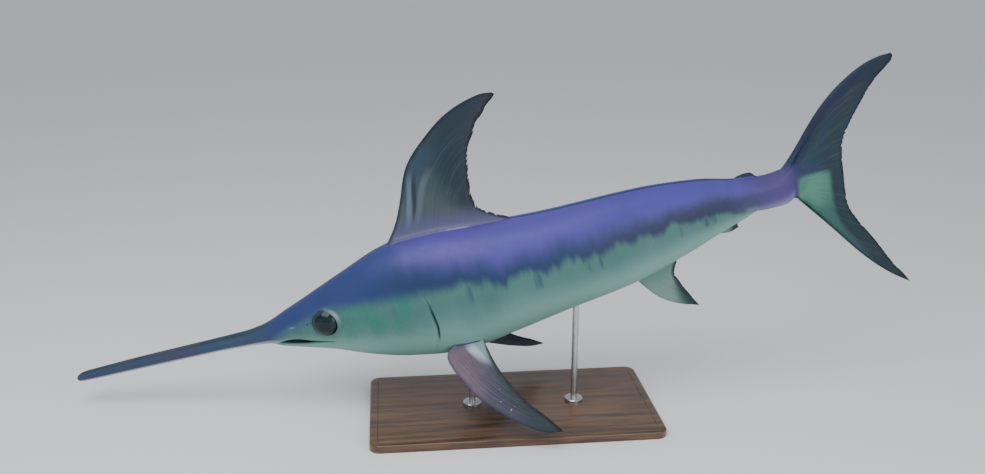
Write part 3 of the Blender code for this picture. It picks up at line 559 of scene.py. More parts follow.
def outline(points, shares):
    """Reads a flat outline, as complex numbers, at the given shares of its length."""
    xs, ys = np.array(points, float).T
    run = np.concatenate([[0.0], np.cumsum(np.hypot(np.diff(xs), np.diff(ys)))])
    at = np.asarray(shares) * run[-1]
    tangent_x = np.gradient(xs, run)
    tangent_y = np.gradient(ys, run)
    cell = np.clip(np.searchsorted(run, at, side="right") - 1, 0, len(run) - 2)
    step = run[cell + 1] - run[cell]
    t = (at - run[cell]) / step
    start, end = (1 + 2 * t) * (1 - t) ** 2, t * t * (3 - 2 * t)
    lean_in, lean_out = step * t * (1 - t) ** 2, -step * t * t * (1 - t)
    x = start * xs[cell] + end * xs[cell + 1] + lean_in * tangent_x[cell] + lean_out * tangent_x[cell + 1]
    y = start * ys[cell] + end * ys[cell + 1] + lean_in * tangent_y[cell] + lean_out * tangent_y[cell + 1]
    return x + 1j * y


# %% Where a fin stands


def midline(flat, aside):
    """Places a fin that stands on the midline."""
    return np.stack([flat.real, aside, flat.imag], axis=-1)


def at_side(side, word):
    """Places a side fin: back along the fish, and out and down along its reach."""
    spread, sweep = PECTORAL_SPREAD[word], PECTORAL_SWEEP[word]
    root = np.array((PECTORAL_ROOT.x, side * PECTORAL_ROOT.y, PECTORAL_ROOT.z))
    level_reach = np.array((0.0, side * math.cos(spread), -math.sin(spread)))
    out = level_reach * math.cos(sweep) + np.array((math.sin(sweep), 0.0, 0.0))
    rearward = np.array((math.cos(sweep), 0.0, 0.0)) - level_reach * math.sin(sweep)
    face = np.cross(rearward, out)

    def place(flat, aside):
        share = np.clip(flat.imag / PECTORAL_LEADING[-1][1], 0.0, 1.0)
        lean = aside - PECTORAL_DROOP * share * share * side
        return root + flat.real[..., None] * rearward + flat.imag[..., None] * out + lean[..., None] * face
    return place


def above_skin(points):
    """How far points of the straight fish stand out from its skin; inside it this is negative."""
    s, y, z = np.moveaxis(points, -1, 0)
    top, bottom, half, level, power = section(s)
    rise = np.where(z > level, top - level, level - bottom)
    share = (np.abs(y) / half) ** (2.0 / power) + (np.abs(z - level) / rise) ** (2.0 / power)
    scale = np.maximum(share, 1e-6) ** (power / 2.0)
    return np.hypot(y, z - level) * (1.0 - 1.0 / scale)


# %% The rear end of the stalk's skin
STALK_END = 1.512
STALK_MIDDLE = 0.005
STALK_CURVE = 6.5
STALK_SPAN = 0.09


def past_stalk(points):
    """How far points lie behind the rounded rear end of the tail stalk's mauve skin."""
    s, _, z = np.moveaxis(points, -1, 0)
    return s - STALK_END + STALK_CURVE * np.clip(z - STALK_MIDDLE, -STALK_SPAN, STALK_SPAN) ** 2


# %% A lobe of rays
COLUMNS_PER_RAY = 6
SUNK_ROWS = 3
FOOT_ROWS = 13
FOOT_HEIGHT = 0.030
ROOT_SINK = 0.003
HEIGHT_PROBES = 201
EDGE_PROBES = 60


def rows_by_height(at, height, place, columns, count):
    """How far along its ray each row lies, crowded together where the fin leaves the skin."""
    probe = np.linspace(0.0, 1.0, HEIGHT_PROBES)
    flat = at(np.broadcast_to(probe, (columns, len(probe))))
    heights = np.maximum.accumulate(height(place(flat, np.zeros(flat.shape))), axis=1)
    leave = np.array([np.interp(-ROOT_SINK, line, probe) for line in heights])
    clear = np.array([np.interp(FOOT_HEIGHT, line, probe) for line in heights])
    clear = np.clip(clear, leave + 0.01, leave + 0.6 * (1.0 - leave))
    upper = np.linspace(0.0, 1.0, count - SUNK_ROWS - FOOT_ROWS + 1)
    upper = 0.45 * upper + 0.55 * np.sin(upper * math.pi / 2.0)
    sunk = leave[:, None] * np.linspace(0.0, 1.0, SUNK_ROWS + 1)[:-1]
    foot = leave[:, None] + (clear - leave)[:, None] * np.linspace(0.0, 1.0, FOOT_ROWS + 1)[:-1]
    rest = clear[:, None] + (1.0 - clear)[:, None] * upper
    return np.concatenate([sunk, foot, rest], axis=1)


def lobe(leading, trailing, root_rear, rays, count, fray, seed, place=midline, height=above_skin):
    """A flat fan of rays: share of the way back at each column, reach along the ray, and the flat places.
    fray is how deep the trailing edge is nibbled between the rays."""
    draw = np.random.default_rng(seed)
    share = np.linspace(0.0, 1.0, rays * COLUMNS_PER_RAY + 1)
    share = 0.7 * share + 0.3 * share ** 2
    ends = outline(trailing, share)
    front, rear = complex(*leading[0]), complex(*root_rear)
    roots = front + (rear - front) * share
    nibble = draw.uniform(0.1, 1.0, rays + 2) ** 2
    between = np.abs(np.sin(math.pi * share * rays)) ** 1.4
    bite = fray * between * nibble[np.floor(share * rays).astype(int)] * ease(0.05, 0.16, share)
    along_edge, along_ray = np.gradient(ends), ends - roots
    crossing = np.abs((along_edge.conj() * along_ray).imag) / np.abs(along_edge) / np.abs(along_ray)
    bite = bite / np.clip(crossing, 0.25, 1.0) / np.maximum(np.abs(along_ray), 0.01)

    def at(reach):
        edge = outline(leading, reach)
        bowed = (edge - complex(*leading[0])) / (complex(*leading[-1]) - complex(*leading[0]))
        along = (1.0 - share)[:, None] * bowed + share[:, None] * reach
        along = along * (1.0 - bite[:, None] * reach ** 10)
        return roots[:, None] + (ends - roots)[:, None] * along

    reach = rows_by_height(at, height, place, len(share), count)
    flat = at(reach)
    probes = np.linspace(0.0, 1.0, EDGE_PROBES)
    rim = np.abs(flat[..., None] - outline(trailing, probes)).min(axis=-1)
    front_gap = np.abs(flat[..., None] - outline(leading, probes)).min(axis=-1)
    return {"share": share[:, None] + 0.0 * reach, "reach": reach, "flat": flat, "rim": rim,
            "front": front_gap, "ray": share[:, None] * rays + 0.0 * reach}


def join(upper, lower):
    """Two lobes that share their innermost ray."""
    return {key: np.concatenate([upper[key], lower[key][-2::-1]]) for key in upper}


# %% The blade of a fin
NOSE_SHARE = 0.045
THINNEST_HALF = 0.0003


def rounded_edge(share, width):
    """Rises from 0 at the very edge to 1 a little way in, like the nose of a wing."""
    inside = np.clip(share / width, 0.0, 1.0)
    return np.sqrt(1.0 - (1.0 - inside) ** 2)


def make_fin(name, nodes, fan, thickness, ridge, foot, place=midline, height=above_skin):
    """Wraps a sheet round a fan. thickness lists (share of the reach, half thickness) and ridge is how
    much thinner the blade is between rays; foot gives the extra half thickness where the fin meets the
    skin and the height over which it fades."""
    share, reach, flat = fan["share"], fan["reach"], fan["flat"]
    nothing = np.zeros(flat.shape)
    over = height(place(flat, nothing))
    nose = rounded_edge(share, NOSE_SHARE)
    half = smooth(thickness, reach) * nose * (1.0 - 0.55 * share)
    strength = ridge * ease(0.03, 0.24, share) * (1.0 - 0.55 * reach) * ease(0.004, 0.045, over)
    half = half * (1.0 + strength * np.cos(2.0 * math.pi * fan["ray"]))
    extra, fade = foot
    flare = extra * np.exp(-np.clip(over + 0.002, 0.0, None) / fade)
    half = half + flare * nose * (1.0 - 0.75 * ease(0.55, 1.0, share))
    half = np.maximum(half * (1.0 - 0.6 * ease(0.90, 1.0, reach)), THINNEST_HALF)
    half[:, 0] = 0.0
    half[:, -1] = 0.0
    for edge_column in (0, -1):
        if share[edge_column, 0] in (0.0, 1.0):
            half[edge_column] = 0.0
    wrapped = np.concatenate([place(flat, half), place(flat, -half)[-2::-1]], axis=0).swapaxes(0, 1)
    piece = start_sheet(name, wrapped.shape[1] - 1, wrapped.shape[0] - 1)
    shape(piece, pose(wrapped))
    store(piece, "still", wrapped.reshape(-1, 3))
    for key, values in (("share", share), ("ray", fan["ray"]), ("reach", reach), ("rim", fan["rim"]),
                        ("front", fan["front"]), ("over", over)):
        store(piece, key, np.concatenate([values, values[-2::-1]], axis=0).T.ravel())
    sew(piece)
    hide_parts(*nodes)
    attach(piece, "root")
    return piece


# %% Shape the fins
AT_STALK = {"place": midline, "height": past_stalk}
fins = {}
fins["dorsal"] = make_fin(
    "first_dorsal_blade", ("dorsal_fin_first",),
    lobe(DORSAL_LEADING, DORSAL_TRAILING, DORSAL_ROOT_REAR, rays=34, count=66, fray=0.0085, seed=3),
    thickness=((0.0, 0.0085), (0.10, 0.0068), (0.25, 0.0047), (0.6, 0.0026), (1.0, 0.0010)),
    ridge=0.20, foot=(0.0150, 0.0065))
fins["second_dorsal"] = make_fin(
    "second_dorsal_blade", ("dorsal_fin_second",),
    lobe(SECOND_DORSAL_LEADING, SECOND_DORSAL_TRAILING, SECOND_DORSAL_ROOT_REAR, rays=9, count=30,
         fray=0.0008, seed=4),
    thickness=((0.0, 0.0060), (0.3, 0.0044), (1.0, 0.0012)), ridge=0.16, foot=(0.0040, 0.0030))
fins["anal"] = make_fin(
    "first_anal_blade", ("anal_fin_first",),
    lobe(FIRST_ANAL_LEADING, FIRST_ANAL_TRAILING, FIRST_ANAL_ROOT_REAR, rays=16, count=48, fray=0.0035,
         seed=5),
    thickness=((0.0, 0.0075), (0.15, 0.0055), (0.4, 0.0030), (1.0, 0.0008)), ridge=0.20,
    foot=(0.0110, 0.0060))
fins["second_anal"] = make_fin(
    "second_anal_blade", ("anal_fin_second",),
    lobe(SECOND_ANAL_LEADING, SECOND_ANAL_TRAILING, SECOND_ANAL_ROOT_REAR, rays=9, count=30,
         fray=0.0016, seed=6),
    thickness=((0.0, 0.0050), (0.3, 0.0034), (1.0, 0.0008)), ridge=0.16, foot=(0.0040, 0.0030))
upper_lobe = lobe(TAIL_UPPER_LEADING, TAIL_UPPER_TRAILING, TAIL_MIDDLE_ROOT, rays=25, count=56,
                  fray=0.0035, seed=7, **AT_STALK)
lower_lobe = lobe(TAIL_LOWER_LEADING, TAIL_LOWER_TRAILING, TAIL_MIDDLE_ROOT, rays=25, count=56,
                  fray=0.0035, seed=8, **AT_STALK)
fins["tail"] = make_fin(
    "tail_blade", ("caudal_fin_upper", "caudal_fin_lower"), join(upper_lobe, lower_lobe),
    thickness=((0.0, 0.0110), (0.12, 0.0092), (0.3, 0.0060), (0.7, 0.0027), (1.0, 0.0008)),
    ridge=0.17, foot=(0.0060, 0.0200), **AT_STALK)
for side, word in ((-1, "left"), (1, "right")):
    beside = at_side(side, word)
    fins[f"side_{word}"] = make_fin(
        f"pectoral_{word}_blade", (f"pectoral_fin_{word}",),
        lobe(PECTORAL_LEADING, PECTORAL_TRAILING, PECTORAL_ROOT_REAR, rays=17, count=62, fray=0.0030,
             seed=9, place=beside),
        thickness=((0.0, 0.0115), (0.12, 0.0100), (0.3, 0.0060), (0.7, 0.0027), (1.0, 0.0009)),
        ridge=0.17, foot=(0.0060, 0.0060), place=beside)
print("fins:", len(fins))

# %% [markdown]
# ## The stand
#
# A museum would hold such a model on two short rods over a heavy board. The board starts as a cube at its
# size and place, its upright edges and then its top edge are rounded with Bevel, and a fine line is let
# into the top. Each rod starts as the flange's disc: its top face is inset and drawn up into the rod.

# %% The board
CORNER_ROUND = 0.030
EDGE_ROUND = 0.006
LINE_INSET = 0.016
LINE_WIDTH = 0.0016
LINE_DEPTH = 0.0010
TOUCH = 0.0001


def pick_parts(mesh, kind, wanted):
    """Selects the "edges" or "faces", in edit mode, that wanted says yes to."""
    editor = bmesh.from_edit_mesh(mesh)
    for item in list(editor.verts) + list(editor.edges) + list(editor.faces):
        item.select = False
    for part in getattr(editor, kind):
        if wanted(part):
            part.select = True
    editor.select_flush_mode()
    bmesh.update_edit_mesh(mesh)


def place_in_mesh(piece):
    pick_only(piece)
    bpy.ops.object.transform_apply(location=True, rotation=True, scale=True)


base_low, base_high = (Vector(corner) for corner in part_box("stand_base"))
pick_nothing()
bpy.ops.mesh.primitive_cube_add(size=1.0, location=(base_low + base_high) / 2.0)
board = bpy.context.object
board.name = "stand_base_board"
board.scale = base_high - base_low
place_in_mesh(board)
bpy.ops.object.mode_set(mode="EDIT")
bpy.ops.mesh.select_mode(type="EDGE")
pick_parts(board.data, "edges", lambda edge: abs(edge.verts[0].co.z - edge.verts[1].co.z) > 0.01)
bpy.ops.mesh.bevel(offset=CORNER_ROUND, segments=10, affect="EDGES")
bpy.ops.mesh.select_mode(type="FACE")
pick_parts(board.data, "faces", lambda face: face.normal.z > 0.9)
bpy.ops.mesh.select_mode(type="EDGE")
bpy.ops.mesh.region_to_loop()
bpy.ops.mesh.bevel(offset=EDGE_ROUND, segments=6, affect="EDGES")
bpy.ops.mesh.select_mode(type="FACE")
pick_parts(board.data, "faces", lambda face: face.normal.z > 0.99 and face.calc_area() > 0.1)
bpy.ops.mesh.inset(thickness=LINE_INSET)
bpy.ops.mesh.inset(thickness=LINE_WIDTH / 2.0)
bpy.ops.mesh.inset(thickness=LINE_WIDTH / 2.0)
bpy.ops.object.mode_set(mode="OBJECT")
line_place = EDGE_ROUND + LINE_INSET + LINE_WIDTH / 2.0
for vert in board.data.vertices:
    inset_x = base_high.x - abs(vert.co.x)
    inset_y = base_high.y - abs(vert.co.y)
    on_top = vert.co.z > base_high.z - TOUCH
    if inset_x < CORNER_ROUND and inset_y < CORNER_ROUND:
        gap = CORNER_ROUND - math.hypot(CORNER_ROUND - inset_x, CORNER_ROUND - inset_y)
    else:
        gap = min(inset_x, inset_y)
    if on_top and abs(gap - line_place) < LINE_WIDTH * 0.3:
        vert.co.z -= LINE_DEPTH
pick_only(board)
bpy.ops.object.shade_smooth_by_angle(angle=math.radians(30.0))
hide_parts("stand_base")
print("board:", [round(value, 3) for value in base_high - base_low])

# %% The rods and their flanges
ROD_RADIUS = 0.009
FLANGE_HEIGHT = 0.008
FLANGE_EASE = 0.0016
WELD_EASE = 0.0022
ROD_SUNK = 0.006
SCREW_RADIUS = 0.0030
SCREW_RING = 0.0180
SCREW_PROUD = 0.0006
SCREWS_EACH = 3


def make_rod(word):
    node = f"stand_rod_{word}"
    low, high = (Vector(corner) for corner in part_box(node))
    flange_radius = (high.x - low.x) / 2.0
    middle = (low + high) / 2.0
    pick_nothing()
    bpy.ops.mesh.primitive_cylinder_add(vertices=72, radius=flange_radius, depth=FLANGE_HEIGHT,
                                        location=(middle.x, middle.y, low.z + FLANGE_HEIGHT / 2.0))
    rod = bpy.context.object
    rod.name = f"stand_rod_{word}_steel"
    place_in_mesh(rod)
    bpy.ops.object.mode_set(mode="EDIT")
    bpy.ops.mesh.select_mode(type="FACE")
    pick_parts(rod.data, "faces", lambda face: face.normal.z > 0.9)
    bpy.ops.mesh.inset(thickness=FLANGE_EASE)
    bpy.ops.mesh.inset(thickness=flange_radius - FLANGE_EASE - ROD_RADIUS - WELD_EASE)
    bpy.ops.mesh.inset(thickness=WELD_EASE)
    bpy.ops.mesh.extrude_region_move(TRANSFORM_OT_translate={"value": (0.0, 0.0, WELD_EASE)})
    top = high.z + ROD_SUNK
    bpy.ops.mesh.extrude_region_move(
        TRANSFORM_OT_translate={"value": (0.0, 0.0, top - low.z - FLANGE_HEIGHT - WELD_EASE)})
    bpy.ops.object.mode_set(mode="OBJECT")
    for vert in rod.data.vertices:
        from_axis = math.hypot(vert.co.x - middle.x, vert.co.y - middle.y)
        if from_axis > flange_radius - TOUCH and vert.co.z > low.z + FLANGE_HEIGHT / 2.0:
            vert.co.z -= FLANGE_EASE
    pick_only(rod)
    bpy.ops.object.shade_smooth_by_angle(angle=math.radians(40.0))
    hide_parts(node)
    screws = []
    for number in range(SCREWS_EACH):
        turn = math.radians(90.0 + 360.0 / SCREWS_EACH * number)
        spot = Vector((middle.x + SCREW_RING * math.cos(turn), middle.y + SCREW_RING * math.sin(turn),
                       low.z + FLANGE_HEIGHT))
        screws.append(make_screw(f"stand_{word}_screw_{number}", spot))
    return [rod] + screws


# %% The screws


def make_screw(name, spot):
    """A small screw head with a round socket."""
    pick_nothing()
    bpy.ops.mesh.primitive_cylinder_add(vertices=36, radius=SCREW_RADIUS, depth=2.0 * SCREW_PROUD,
                                        location=spot)
    head = bpy.context.object
    head.name = name
    place_in_mesh(head)
    bpy.ops.object.mode_set(mode="EDIT")
    bpy.ops.mesh.select_mode(type="FACE")
    pick_parts(head.data, "faces", lambda face: face.normal.z > 0.9)
    bpy.ops.mesh.inset(thickness=SCREW_RADIUS * 0.12)
    bpy.ops.transform.translate(value=(0.0, 0.0, SCREW_PROUD * 0.4))
    bpy.ops.mesh.inset(thickness=SCREW_RADIUS * 0.40)
    bpy.ops.mesh.extrude_region_move(TRANSFORM_OT_translate={"value": (0.0, 0.0, -SCREW_PROUD * 1.8)})
    bpy.ops.object.mode_set(mode="OBJECT")
    pick_only(head)
    bpy.ops.object.shade_smooth_by_angle(angle=math.radians(35.0))
    return head


rods = {word: make_rod(word) for word in ("front", "rear")}
print("stand pieces:", 1 + sum(len(group) for group in rods.values()))

# %% [markdown]
# ## Materials
#
# Each finish is a small tree of nodes. A few helpers keep the trees short: one adds a node, one does a sum,
# one makes a soft step from a number, one blends two colours and one lays colours over one another.

# %% Node helpers


class Tree:
    """A node tree with short ways to add what this fish needs."""

    def __init__(self, tree):
        self.tree, self.nodes, self.links = tree, tree.nodes, tree.links

    def put(self, socket, value):
        if isinstance(value, bpy.types.NodeSocket):
            self.links.new(value, socket)
        else:
            socket.default_value = value

    def add(self, kind, **settings):
        node = self.nodes.new(kind)
        for name, value in settings.items():
            setattr(node, name, value)
        return node

    def read(self, attribute, output="Fac"):
        return self.add("ShaderNodeAttribute", attribute_name=attribute).outputs[output]

    def split(self, vector):
        node = self.add("ShaderNodeSeparateXYZ")
        self.links.new(vector, node.inputs[0])
        return node.outputs

    def gather(self, *values):
        node = self.add("ShaderNodeCombineXYZ")
        for socket, value in zip(node.inputs, values):
            self.put(socket, value)
        return node.outputs[0]

    def sum(self, operation, *values):
        node = self.add("ShaderNodeMath", operation=operation)
        for socket, value in zip(node.inputs, values):
            self.put(socket, value)
        return node.outputs[0]

    def times(self, first, second):
        return self.sum("MULTIPLY", first, second)

    def plus(self, first, second):
        return self.sum("ADD", first, second)

    def lean(self, value, amount):
        """A noise of 0 to 1 made to swing by amount about 0."""
        return self.sum("MULTIPLY_ADD", value, amount, -0.5 * amount)

    def wander(self, value, noise, amount):
        """A value shifted by a noise, so that the edge drawn from it wanders."""
        return self.plus(value, self.lean(noise, amount))

    def step(self, value, low, high, start=0.0, end=1.0):
        """A soft step: start below low, end above high."""
        node = self.add("ShaderNodeMapRange", interpolation_type="SMOOTHSTEP")
        for name, number in (("Value", value), ("From Min", low), ("From Max", high), ("To Min", start),
                             ("To Max", end)):
            self.put(node.inputs[name], number)
        return node.outputs["Result"]

    def band(self, value, low, high, soft):
        """1 between low and high, with soft shoulders outside them."""
        return self.times(self.step(value, low - soft, low), self.step(value, high, high + soft, 1.0, 0.0))

    def blend(self, share, first, second):
        """Mixes two colours; 6, 7 and 2 are the colour sockets of the node."""
        node = self.add("ShaderNodeMix", data_type="RGBA")
        self.put(node.inputs[0], share)
        self.put(node.inputs[6], first if isinstance(first, bpy.types.NodeSocket) else (*first, 1.0))
        self.put(node.inputs[7], second if isinstance(second, bpy.types.NodeSocket) else (*second, 1.0))
        return node.outputs[2]

    def layers(self, colour, *coats):
        """Lays colours over one another; each coat is its share and its colour."""
        for share, top in coats:
            colour = self.blend(share, colour, top)
        return colour

    def noise(self, vector, scale, detail=3.0, roughness=0.55, stretch=(1.0, 1.0, 1.0)):
        mapping = self.add("ShaderNodeMapping")
        self.links.new(vector, mapping.inputs["Vector"])
        mapping.inputs["Scale"].default_value = stretch
        node = self.add("ShaderNodeTexNoise")
        self.links.new(mapping.outputs[0], node.inputs["Vector"])
        node.inputs["Scale"].default_value = scale
        node.inputs["Detail"].default_value = detail
        node.inputs["Roughness"].default_value = roughness
        return node.outputs["Fac"]


# %% A finish and its shader


class Finish(Tree):
    """A material with its Principled shader."""

    def __init__(self, name):
        self.material = bpy.data.materials.new(name)
        self.material.use_nodes = True
        super().__init__(self.material.node_tree)
        self.shader = self.nodes["Principled BSDF"]

    def group(self, shared, **inputs):
        node = self.add("ShaderNodeGroup")
        node.node_tree = shared
        for name, value in inputs.items():
            self.put(node.inputs[name], value)
        return node.outputs

    def surface(self, colour, roughness, specular, coat, coat_roughness):
        self.put(self.shader.inputs["Base Color"], colour)
        self.put(self.shader.inputs["Roughness"], roughness)
        self.shader.inputs["Specular IOR Level"].default_value = specular
        self.shader.inputs["Coat Weight"].default_value = coat
        self.shader.inputs["Coat Roughness"].default_value = coat_roughness

    def relief(self, height, distance, strength):
        node = self.add("ShaderNodeBump")
        node.inputs["Strength"].default_value = strength
        node.inputs["Distance"].default_value = distance
        self.put(node.inputs["Height"], height)
        self.links.new(node.outputs[0], self.shader.inputs["Normal"])

    def paint(self, piece, slot):
        piece.data.materials.clear()
        piece.data.materials.append(self.material)


# %% Effects that more than one finish uses


def shared_group(name, inputs, outputs):
    """A node group with its sockets; returns it with its tree and the two ends."""
    group = bpy.data.node_groups.new(name, "ShaderNodeTree")
    for socket, kind in inputs:
        group.interface.new_socket(socket, in_out="INPUT", socket_type=kind)
    for socket, kind in outputs:
        group.interface.new_socket(socket, in_out="OUTPUT", socket_type=kind)
    tree = Tree(group)
    return group, tree, tree.add("NodeGroupInput").outputs, tree.add("NodeGroupOutput").inputs


def make_mottle():
    """Clouds and fine speckle that skin and fins share."""
    group, tree, given, out = shared_group(
        "fish_mottle", (("Place", "NodeSocketVector"),),
        (("Cloud", "NodeSocketFloat"), ("Speckle", "NodeSocketFloat")))
    tree.put(out["Cloud"], tree.noise(given["Place"], 7.0, 3.0))
    tree.put(out["Speckle"], tree.noise(given["Place"], 95.0, 3.0, 0.6))
    return group


def make_stalk_mask():
    """1 on the mauve tail stalk, fading where it melts into the tail fin."""
    group, tree, given, out = shared_group(
        "stalk_mask", (("Place", "NodeSocketVector"), ("Cloud", "NodeSocketFloat")),
        (("Mask", "NodeSocketFloat"),))
    s, _, z = tree.split(given["Place"])
    off = tree.sum("MINIMUM", tree.plus(z, -STALK_MIDDLE), STALK_SPAN)
    off = tree.sum("MAXIMUM", off, -STALK_SPAN)
    behind = tree.plus(tree.plus(s, -STALK_END), tree.times(tree.times(off, off), STALK_CURVE))
    behind = tree.wander(behind, given["Cloud"], 0.012)
    soft_end = tree.step(z, 0.010, 0.050, 0.006, 0.042)
    tree.put(out["Mask"], tree.step(behind, -0.009, soft_end, 1.0, 0.0))
    return group


MOTTLE = make_mottle()
STALK_MASK = make_stalk_mask()

# %% [markdown]
# ## The skin's colours
#
# The living fish is violet blue on the back with a navy band below it, and the band breaks up in short
# vertical streaks over a blue-green flank and a pale belly. The node tree reads what was stored on the
# mesh: the place on the straight fish, the girth from -1 under the belly to 1 on the back, and how far each
# point lies above the two colour edges. Noise is added to these before a soft step turns them into masks,
# so that the edges wander.

# %% Colours of the skin
VIOLET_BACK = (0.060, 0.057, 0.300)
VIOLET_WARM = (0.074, 0.060, 0.300)
BLUE_NAPE = (0.026, 0.045, 0.165)
NAVY_BAND = (0.015, 0.036, 0.096)
DUSK_BAND = (0.026, 0.032, 0.084)
FLANK_GREEN = (0.064, 0.166, 0.153)
FLANK_BAR = (0.044, 0.122, 0.112)
PALE_BELLY = (0.190, 0.362, 0.326)
CHEEK_GREEN = (0.033, 0.172, 0.130)
STALK_MAUVE = (0.064, 0.050, 0.170)
BILL_SLATE = (0.030, 0.057, 0.108)
BILL_TOP = (0.008, 0.036, 0.060)
BILL_EDGE = (0.400, 0.360, 0.460)
BILL_PLUM = (0.044, 0.046, 0.086)
# Painted shade for the mouth, gill slit, nostrils and round the eye; the same dark also tints the skin
# behind the tail stalk.
DARK_TINT_AND_SHADE = (0.003, 0.010, 0.013)
# The pale fold behind the eye with its painted highlight; also the painted glints on the pale flank.
LID_AND_GLINT_PALE = (0.260, 0.360, 0.400)
# Painted glint along the keel's edge and along the dorsal fin's foot.
PAINTED_GLINT_MAUVE = (0.260, 0.240, 0.420)
TAIL_NAVY = (0.009, 0.017, 0.046)
TAIL_SLATE = (0.014, 0.034, 0.058)
TAIL_GREEN = (0.075, 0.225, 0.165)
TAIL_ROOT = (0.018, 0.036, 0.096)

coat = Finish("living_skin")
still = coat.read("still", "Vector")
s_at, y_at, z_at = coat.split(still)
girth, over_pale, over_band = coat.read("girth"), coat.read("over_pale"), coat.read("over_band")
mottle = coat.group(MOTTLE, Place=still)
cloud, speckle = mottle["Cloud"], mottle["Speckle"]
jags = coat.noise(still, 17.0, 3.0, 0.52, (1.0, 0.09, 0.09))
drips = coat.noise(still, 15.0, 3.0, 0.6, (1.0, 0.04, 0.04))
bars = coat.noise(still, 9.0, 3.0, 0.6, (1.0, 0.12, 0.12))
on_trunk = coat.step(s_at, 0.40, 0.66, 0.16, 1.0)
edge = coat.plus(over_pale, coat.times(coat.lean(jags, 0.46), on_trunk))
edge = coat.wander(edge, cloud, 0.09)
softness = coat.plus(coat.step(s_at, 0.12, 0.20, 0.13, 0.0), coat.step(s_at, 0.20, 0.60, 0.11, 0.070))
dark_share = coat.step(edge, coat.times(softness, -1.0), softness)
drip_share = coat.times(coat.step(drips, 0.55, 0.64), coat.band(over_pale, -0.11, 0.02, 0.12))
dark_share = coat.sum("MAXIMUM", dark_share, coat.times(coat.times(drip_share, on_trunk), 0.70))
back_edge = coat.plus(over_band, coat.wander(coat.lean(cloud, 0.18), jags, 0.30))
back_share = coat.step(back_edge, -0.17, 0.15)

# %% The pale side of the skin
flank = coat.blend(coat.step(coat.wander(girth, cloud, 0.10), -0.45, 0.08), PALE_BELLY, FLANK_GREEN)
bar_share = coat.times(coat.step(bars, 0.35, 0.70), coat.step(girth, -0.40, 0.05, 0.0, 0.45))
on_cheek = coat.times(coat.band(s_at, 0.225, 0.430, 0.05), coat.step(girth, -0.30, 0.06))
blotches = coat.step(coat.noise(still, 17.0, 3.0, 0.5, (1.0, 0.6, 0.6)), 0.40, 0.62, 0.15, 1.0)
flank = coat.layers(flank, (bar_share, FLANK_BAR), (coat.times(on_cheek, blotches), CHEEK_GREEN))

# %% The dark side of the skin
nape = coat.step(coat.wander(s_at, cloud, 0.20), 0.26, 0.52, 1.0, 0.0)
violet = coat.blend(coat.step(coat.noise(still, 2.2, 2.0), 0.42, 0.60), VIOLET_BACK, VIOLET_WARM)
back = coat.blend(nape, violet, BLUE_NAPE)
navy = coat.blend(coat.step(s_at, 0.80, 1.15), NAVY_BAND, DUSK_BAND)
navy = coat.blend(coat.times(nape, 0.85), navy, BLUE_NAPE)
dark = coat.blend(back_share, navy, back)
# Painted shade: a dark line in the groove along the middle of the back.
groove_shade = coat.step(coat.sum("ABSOLUTE", y_at), 0.0035, 0.0075, 1.0, 0.0)
groove_shade = coat.times(coat.band(s_at, 0.725, 1.345, 0.03), groove_shade)
groove_shade = coat.times(groove_shade, coat.step(girth, 0.80, 0.90))
dark = coat.blend(coat.times(groove_shade, 0.9), dark, NAVY_BAND)

# %% Stalk, bill, painted highlights and painted shade in creases
streaks = coat.times(coat.step(bars, 0.42, 0.66), coat.step(jags, 0.40, 0.60, 0.4, 1.0))
stalk_start = coat.plus(s_at, coat.step(girth, -0.35, 0.10, -0.09, 0.0))
blade = coat.blend(coat.step(coat.wander(z_at, cloud, 0.03), 0.020, 0.040), TAIL_GREEN, TAIL_ROOT)
blade = coat.blend(0.12, blade, DARK_TINT_AND_SHADE)
stalk = coat.group(STALK_MASK, Place=still, Cloud=cloud)
beyond_stalk = coat.times(coat.step(s_at, 1.46, 1.47), coat.sum("SUBTRACT", 1.0, stalk["Mask"]))
bill = coat.blend(coat.step(coat.wander(girth, speckle, 0.3), 0.50, 0.90), BILL_SLATE, BILL_TOP)
plum = coat.noise(still, 24.0, 3.0, 0.6, (0.35, 1.0, 1.0))
bill = coat.layers(bill, (coat.step(plum, 0.44, 0.62, 0.0, 0.8), BILL_PLUM),
                   (coat.step(girth, -0.32, -0.12, 0.90, 0.0), BILL_EDGE))
on_bill = coat.step(coat.wander(s_at, cloud, 0.05), -0.05, 0.07, 1.0, 0.0)
glint_share = coat.times(coat.step(speckle, 0.50, 0.80, 0.0, 0.10),
                         coat.sum("SUBTRACT", 1.0, dark_share))
# Besides the fish's own colours, these layers paint light and shade: a painted glint on the keel's edge, a
# pale fold with a painted highlight behind the eye, painted glints on the pale flank and painted shade in
# the creases.
body = coat.layers(
    coat.blend(dark_share, flank, dark),
    (coat.times(streaks, coat.times(dark_share, 0.22)), NAVY_BAND),
    (coat.step(stalk_start, 1.31, 1.44), STALK_MAUVE),
    (coat.times(coat.read("keel_edge_glint"), 0.55), PAINTED_GLINT_MAUVE),
    (beyond_stalk, blade),
    (on_bill, bill),
    (coat.times(coat.read("lid_glint"), 0.75), LID_AND_GLINT_PALE),
    (glint_share, LID_AND_GLINT_PALE),
    (coat.step(coat.read("crease_shade"), 0.22, 0.80), DARK_TINT_AND_SHADE))
roughness = coat.step(coat.wander(speckle, cloud, 0.4), 0.3, 0.7, 0.44, 0.58)
coat.surface(body, roughness, specular=0.25, coat=0.06, coat_roughness=0.22)
coat.put(coat.shader.inputs["Metallic"], coat.times(coat.step(edge, -0.20, 0.04, 0.20, 0.0),
                                                    coat.step(on_bill, 0.1, 0.6, 1.0, 0.0)))
coat.relief(coat.plus(speckle, coat.times(jags, 0.5)), 0.0005, 0.5)
coat.paint(skin, "back_skin")
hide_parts("bill", "head", "lower_jaw", "body_front", "body_rear", "caudal_peduncle")
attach(skin, "root")

